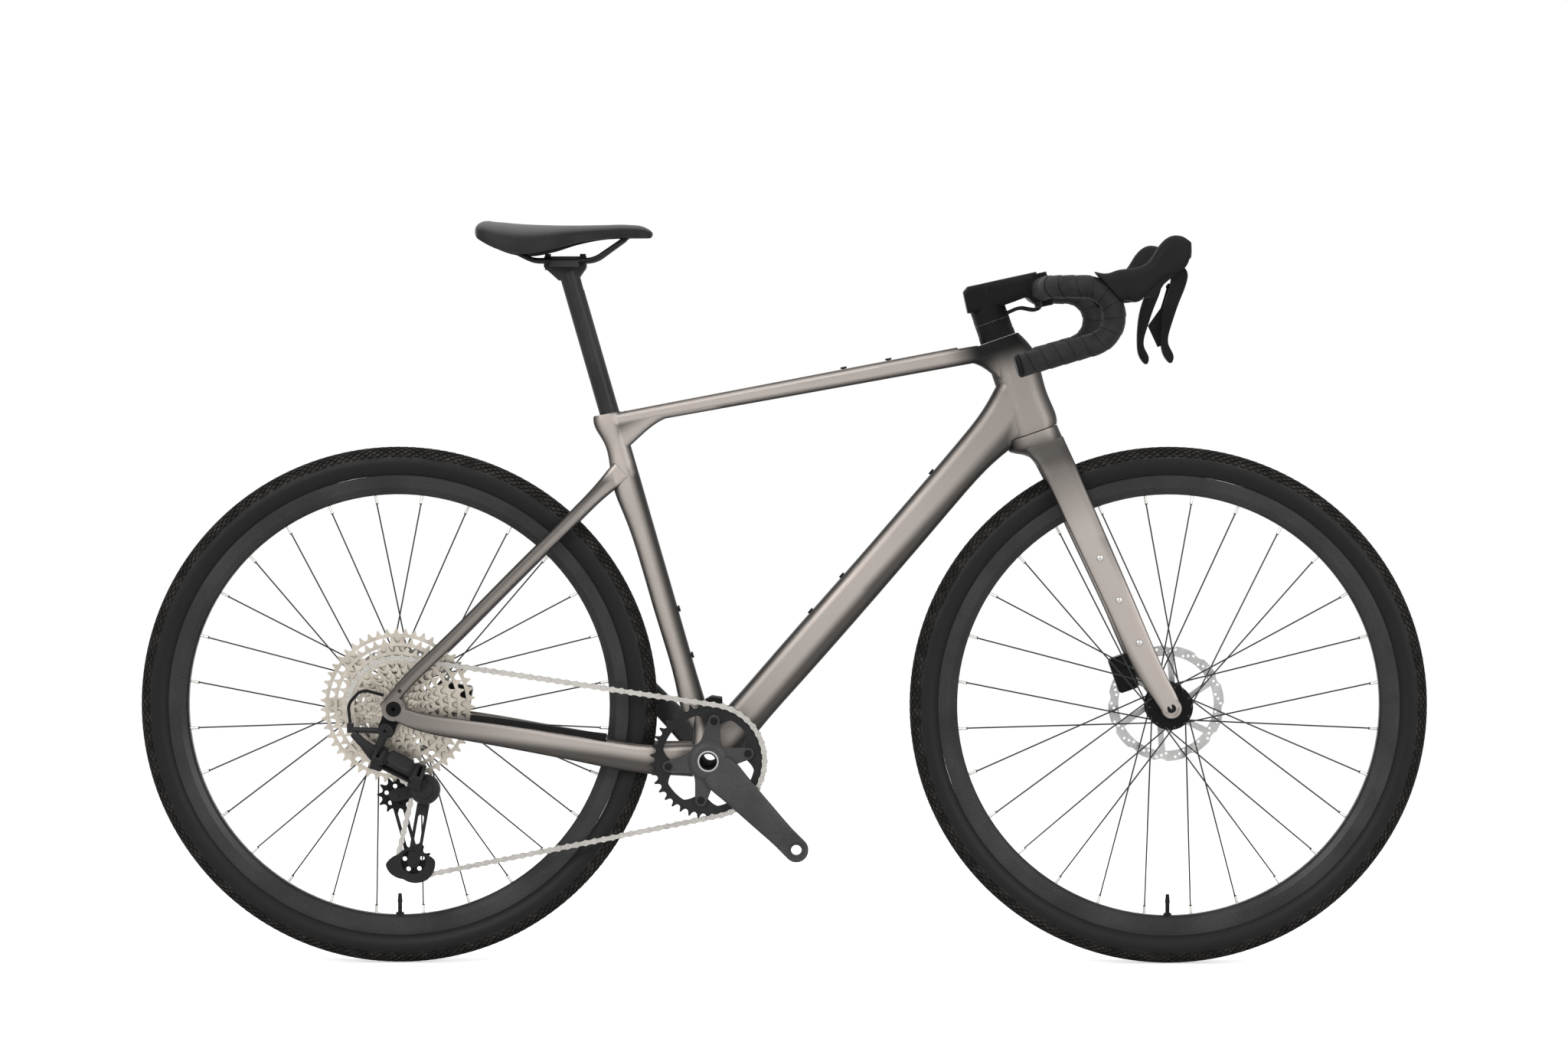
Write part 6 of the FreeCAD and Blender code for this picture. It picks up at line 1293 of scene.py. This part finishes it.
@dataclass
class DerailleurCovers:
    """The lower pulley's guard and the covers of the cage's pivot, the outer link and the upper knuckle."""

    pulley: Place = (-506.69 * MM, 0.0, 142.93 * MM)
    pivot: Place = (-489.0 * MM, 0.0, 243.5 * MM)
    link_root: Place = (-544.0 * MM, -84.0 * MM, 292.0 * MM)
    link_end: Place = (-500.61 * MM, -75.0 * MM, 268.84 * MM)
    link_axis: Place = (0.2248, 0.6890, 0.6890)
    stop: Place = (-585.0 * MM, -80.0 * MM, 323.0 * MM)
    bridge: Place = (-553.0 * MM, -79.0 * MM, 292.0 * MM)
    guard_window: float = 16.5 * MM
    guard_rim: float = 4.5 * MM
    guard_sides: Pair = (-41.2 * MM, -37.5 * MM)
    soft_steps: int = 9
    link_out: float = 4.6 * MM

    def guard_shell(self) -> Shell:
        """The guard: a ring with a pointed tail, straight between its corners and then softened."""
        corners = np.array([(-1, 19.5), (-20, 10), (-38, -3), (-37, -8), (-32, -16), (-14, -24), (8, -29),
                            (19, -25), (26, -17), (30, 1), (24, 7), (17, 9), (8, 15)]) * MM
        turn = np.arctan2(corners[:, 1], corners[:, 0])
        order = np.argsort(turn)
        outer = np.interp(circle(240), turn[order], np.linalg.norm(corners, axis=1)[order], period=TURN)
        soft = np.hanning(self.soft_steps)
        outer = np.convolve(np.pad(outer, self.soft_steps // 2, mode="wrap"), soft / np.sum(soft), mode="valid")
        inner = np.minimum(self.guard_window, outer - self.guard_rim)
        return ring_plate(self.pulley, inner, outer, self.guard_sides, bevel=1.0 * MM)

    def pivot_shell(self) -> Shell:
        """The cover: a drum with a raised cap."""
        profile = np.array([(0, 41), (17, 41), (20, 43), (20.5, 46), (20.5, 57), (19, 60), (16, 61.2),
                            (11.5, 61.2), (11.2, 63), (10.2, 63.6), (0, 63.6)]) * MM
        return lathe(self.pivot, RIGHT, profile, count=56)

    def link_shell(self) -> Shell:
        """The link's cover: a rounded block on the outside of the link, clear of the ears at both ends."""
        root, axis = np.asarray(self.link_root), np.asarray(self.link_axis)
        span = np.asarray(self.link_end) - root
        ahead = span / np.linalg.norm(span)
        out = np.cross(ahead, axis)
        known = np.array([(6.5, 8.0, 2.6), (8.0, 8.8, 4.0), (10.0, 11.6, 4.5), (25.0, 12.4, 4.8),
                          (40.0, 11.6, 4.5), (42.0, 8.8, 4.0), (43.5, 8.0, 2.6)]) * MM
        along, wide, thick = known.T[:, :, None]
        return loft(root + along * ahead + self.link_out * out, wide * axis, thick * out, power=4.5)

    def knuckle_shell(self) -> Shell:
        """The upper knuckle's cover: a slanted arm that widens from the cable stop to the link."""
        start, span = np.asarray(self.stop), np.asarray(self.bridge) - np.asarray(self.stop)
        ahead = span / np.linalg.norm(span)
        beside = np.cross(RIGHT, ahead)
        known = np.array([(0.00, 4.0, 3.4), (0.06, 5.2, 4.4), (0.45, 6.2, 5.0), (0.75, 8.6, 5.6),
                          (0.95, 9.8, 5.8), (1.00, 8.6, 5.0)])
        share, wide, thick = known.T[:, :, None]
        return loft(start + share * span, wide * MM * beside, thick * MM * RIGHT, power=4.0)

    def build(self) -> None:
        """Makes the guard and the covers on the parts that carry them."""
        for name, shell, body in (("cage_guard", self.guard_shell(), "derailleur_cage"),
                                  ("pivot_cover", self.pivot_shell(), "derailleur_p_knuckle"),
                                  ("link_cover", self.link_shell(), "derailleur_outer_link"),
                                  ("knuckle_cover", self.knuckle_shell(), "derailleur_b_knuckle")):
            piece = make_piece(name, [shell], MECH_BLACK, MACHINED_CREASE)
            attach(piece, body)


# Studio


@dataclass
class Studio:
    """A pale floor, soft lights, a white surround and the camera."""

    lens: float = 97.45
    eye: Place = (0.057, -5.831, 0.802)
    tilt: float = 88.082
    turn: float = 0.552
    fill: float = 0.40
    sensor: float = 36.0
    view_end: float = 60.0
    floor_half: float = 6.0
    floor_tone: float = 0.82
    floor_glow: float = 0.55
    floor_reach: Pair = (1.3, 2.6)
    aim: Place = (0.0, 0.0, 0.5)
    lamps: tuple[tuple[str, Place, Pair, float, bool], ...] = (
        ("key", (-2.2, -4.2, 3.0), (2.6, 2.0), 120.0, True),
        ("side", (3.0, -3.6, 1.8), (1.6, 2.6), 70.0, True),
        ("top", (0.0, -0.4, 3.6), (3.4, 1.6), 70.0, False),
        ("back", (0.4, 4.2, 2.4), (3.0, 1.6), 60.0, False),
    )

    def camera(self) -> None:
        """Sets the camera level with the bike, square to its right side."""
        data = bpy.data.cameras.new("camera")
        data.lens = self.lens
        data.sensor_width = self.sensor
        data.clip_end = self.view_end
        camera = add_object("camera", data)
        camera.location = self.eye
        camera.rotation_euler = (math.radians(self.tilt), 0.0, math.radians(self.turn))
        bpy.context.scene.camera = camera

    def lamp(self, name: str, place: Place, size: Pair, power: float, glint: bool) -> None:
        """Adds a soft lamp that looks at the middle of the bike.

        Args:
            name: the lamp's name.
            place: where it stands.
            size: width and height.
            power: its strength in watts.
            glint: whether glossy surfaces show it.
        """
        data = bpy.data.lights.new(name, "AREA")
        data.shape = "RECTANGLE"
        data.size, data.size_y = size
        data.energy = power
        lamp = add_object(name, data)
        lamp.location = place
        lamp.visible_glossy = glint
        lamp.rotation_euler = (Vector(self.aim) - Vector(place)).to_track_quat("-Z", "Y").to_euler()

    def surround(self) -> None:
        """A world that the camera and reflections see as white, and that lights softly."""
        graph = Graph(bpy.data.worlds.new("surround"))
        light, seen = (graph.add("Background", {"Color": WHITE, "Strength": strength}).outputs[0]
                       for strength in (self.fill, 1.0))
        rays = graph.add("LightPath", {}).outputs
        total = rays["Is Camera Ray"]
        for extra in ("Is Glossy Ray", "Is Transmission Ray"):
            total = graph.math("MAXIMUM", total, rays[extra])
        graph.show(graph.add("MixShader", {0: total, 1: light, 2: seen}), "OutputWorld")
        bpy.context.scene.world = graph.data

    def floor(self) -> None:
        """A pale floor that keeps the shadow and fades into the white surround."""
        reach = self.floor_half
        mesh = bpy.data.meshes.new("floor")
        corners = [(-reach, -reach, 0.0), (reach, -reach, 0.0), (reach, reach, 0.0), (-reach, reach, 0.0)]
        mesh.from_pydata(corners, [], [(0, 1, 2, 3)])
        graph = Graph(bpy.data.materials.new("floor_white"))
        plain = graph.add("BsdfDiffuse", {"Color": (self.floor_tone,) * 3 + (1.0,)})
        rays = graph.add("LightPath", {}).outputs
        glow = graph.add("Emission", {"Strength": graph.times(rays["Is Camera Ray"], self.floor_glow)})
        both = graph.add("AddShader", {0: plain.outputs[0], 1: glow.outputs[0]})
        away = graph.add("VectorMath", {0: graph.place()}, operation="LENGTH").outputs["Value"]
        clear = graph.add("BsdfTransparent", {})
        share = graph.ramp(away, *self.floor_reach)
        graph.show(graph.add("MixShader", {0: share, 1: both.outputs[0], 2: clear.outputs[0]}))
        mesh.materials.append(graph.data)
        floor = add_object("floor", mesh)

    def build(self) -> None:
        """Sets up the whole studio."""
        bpy.context.scene.view_settings.view_transform = "Standard"
        self.camera()
        self.surround()
        self.floor()
        for numbers in self.lamps:
            self.lamp(*numbers)


def main() -> None:
    """Dresses the bike piece by piece and reports each."""
    logging.basicConfig(level=logging.INFO, format="%(message)s")
    for finish, names in NODE_FINISHES.items():
        put(finish, *names.split())
    for wheel in Wheel:
        Tyre(wheel).build()
        WheelMetal(wheel).dress()
    for part in (BarTape, Hoods, Saddle, ForkBolts, Fork, TopTubeCowl, Crankset, DerailleurCovers, Studio):
        part().build()
    LOG.info("sizes written")


if __name__ == "__main__":
    main()
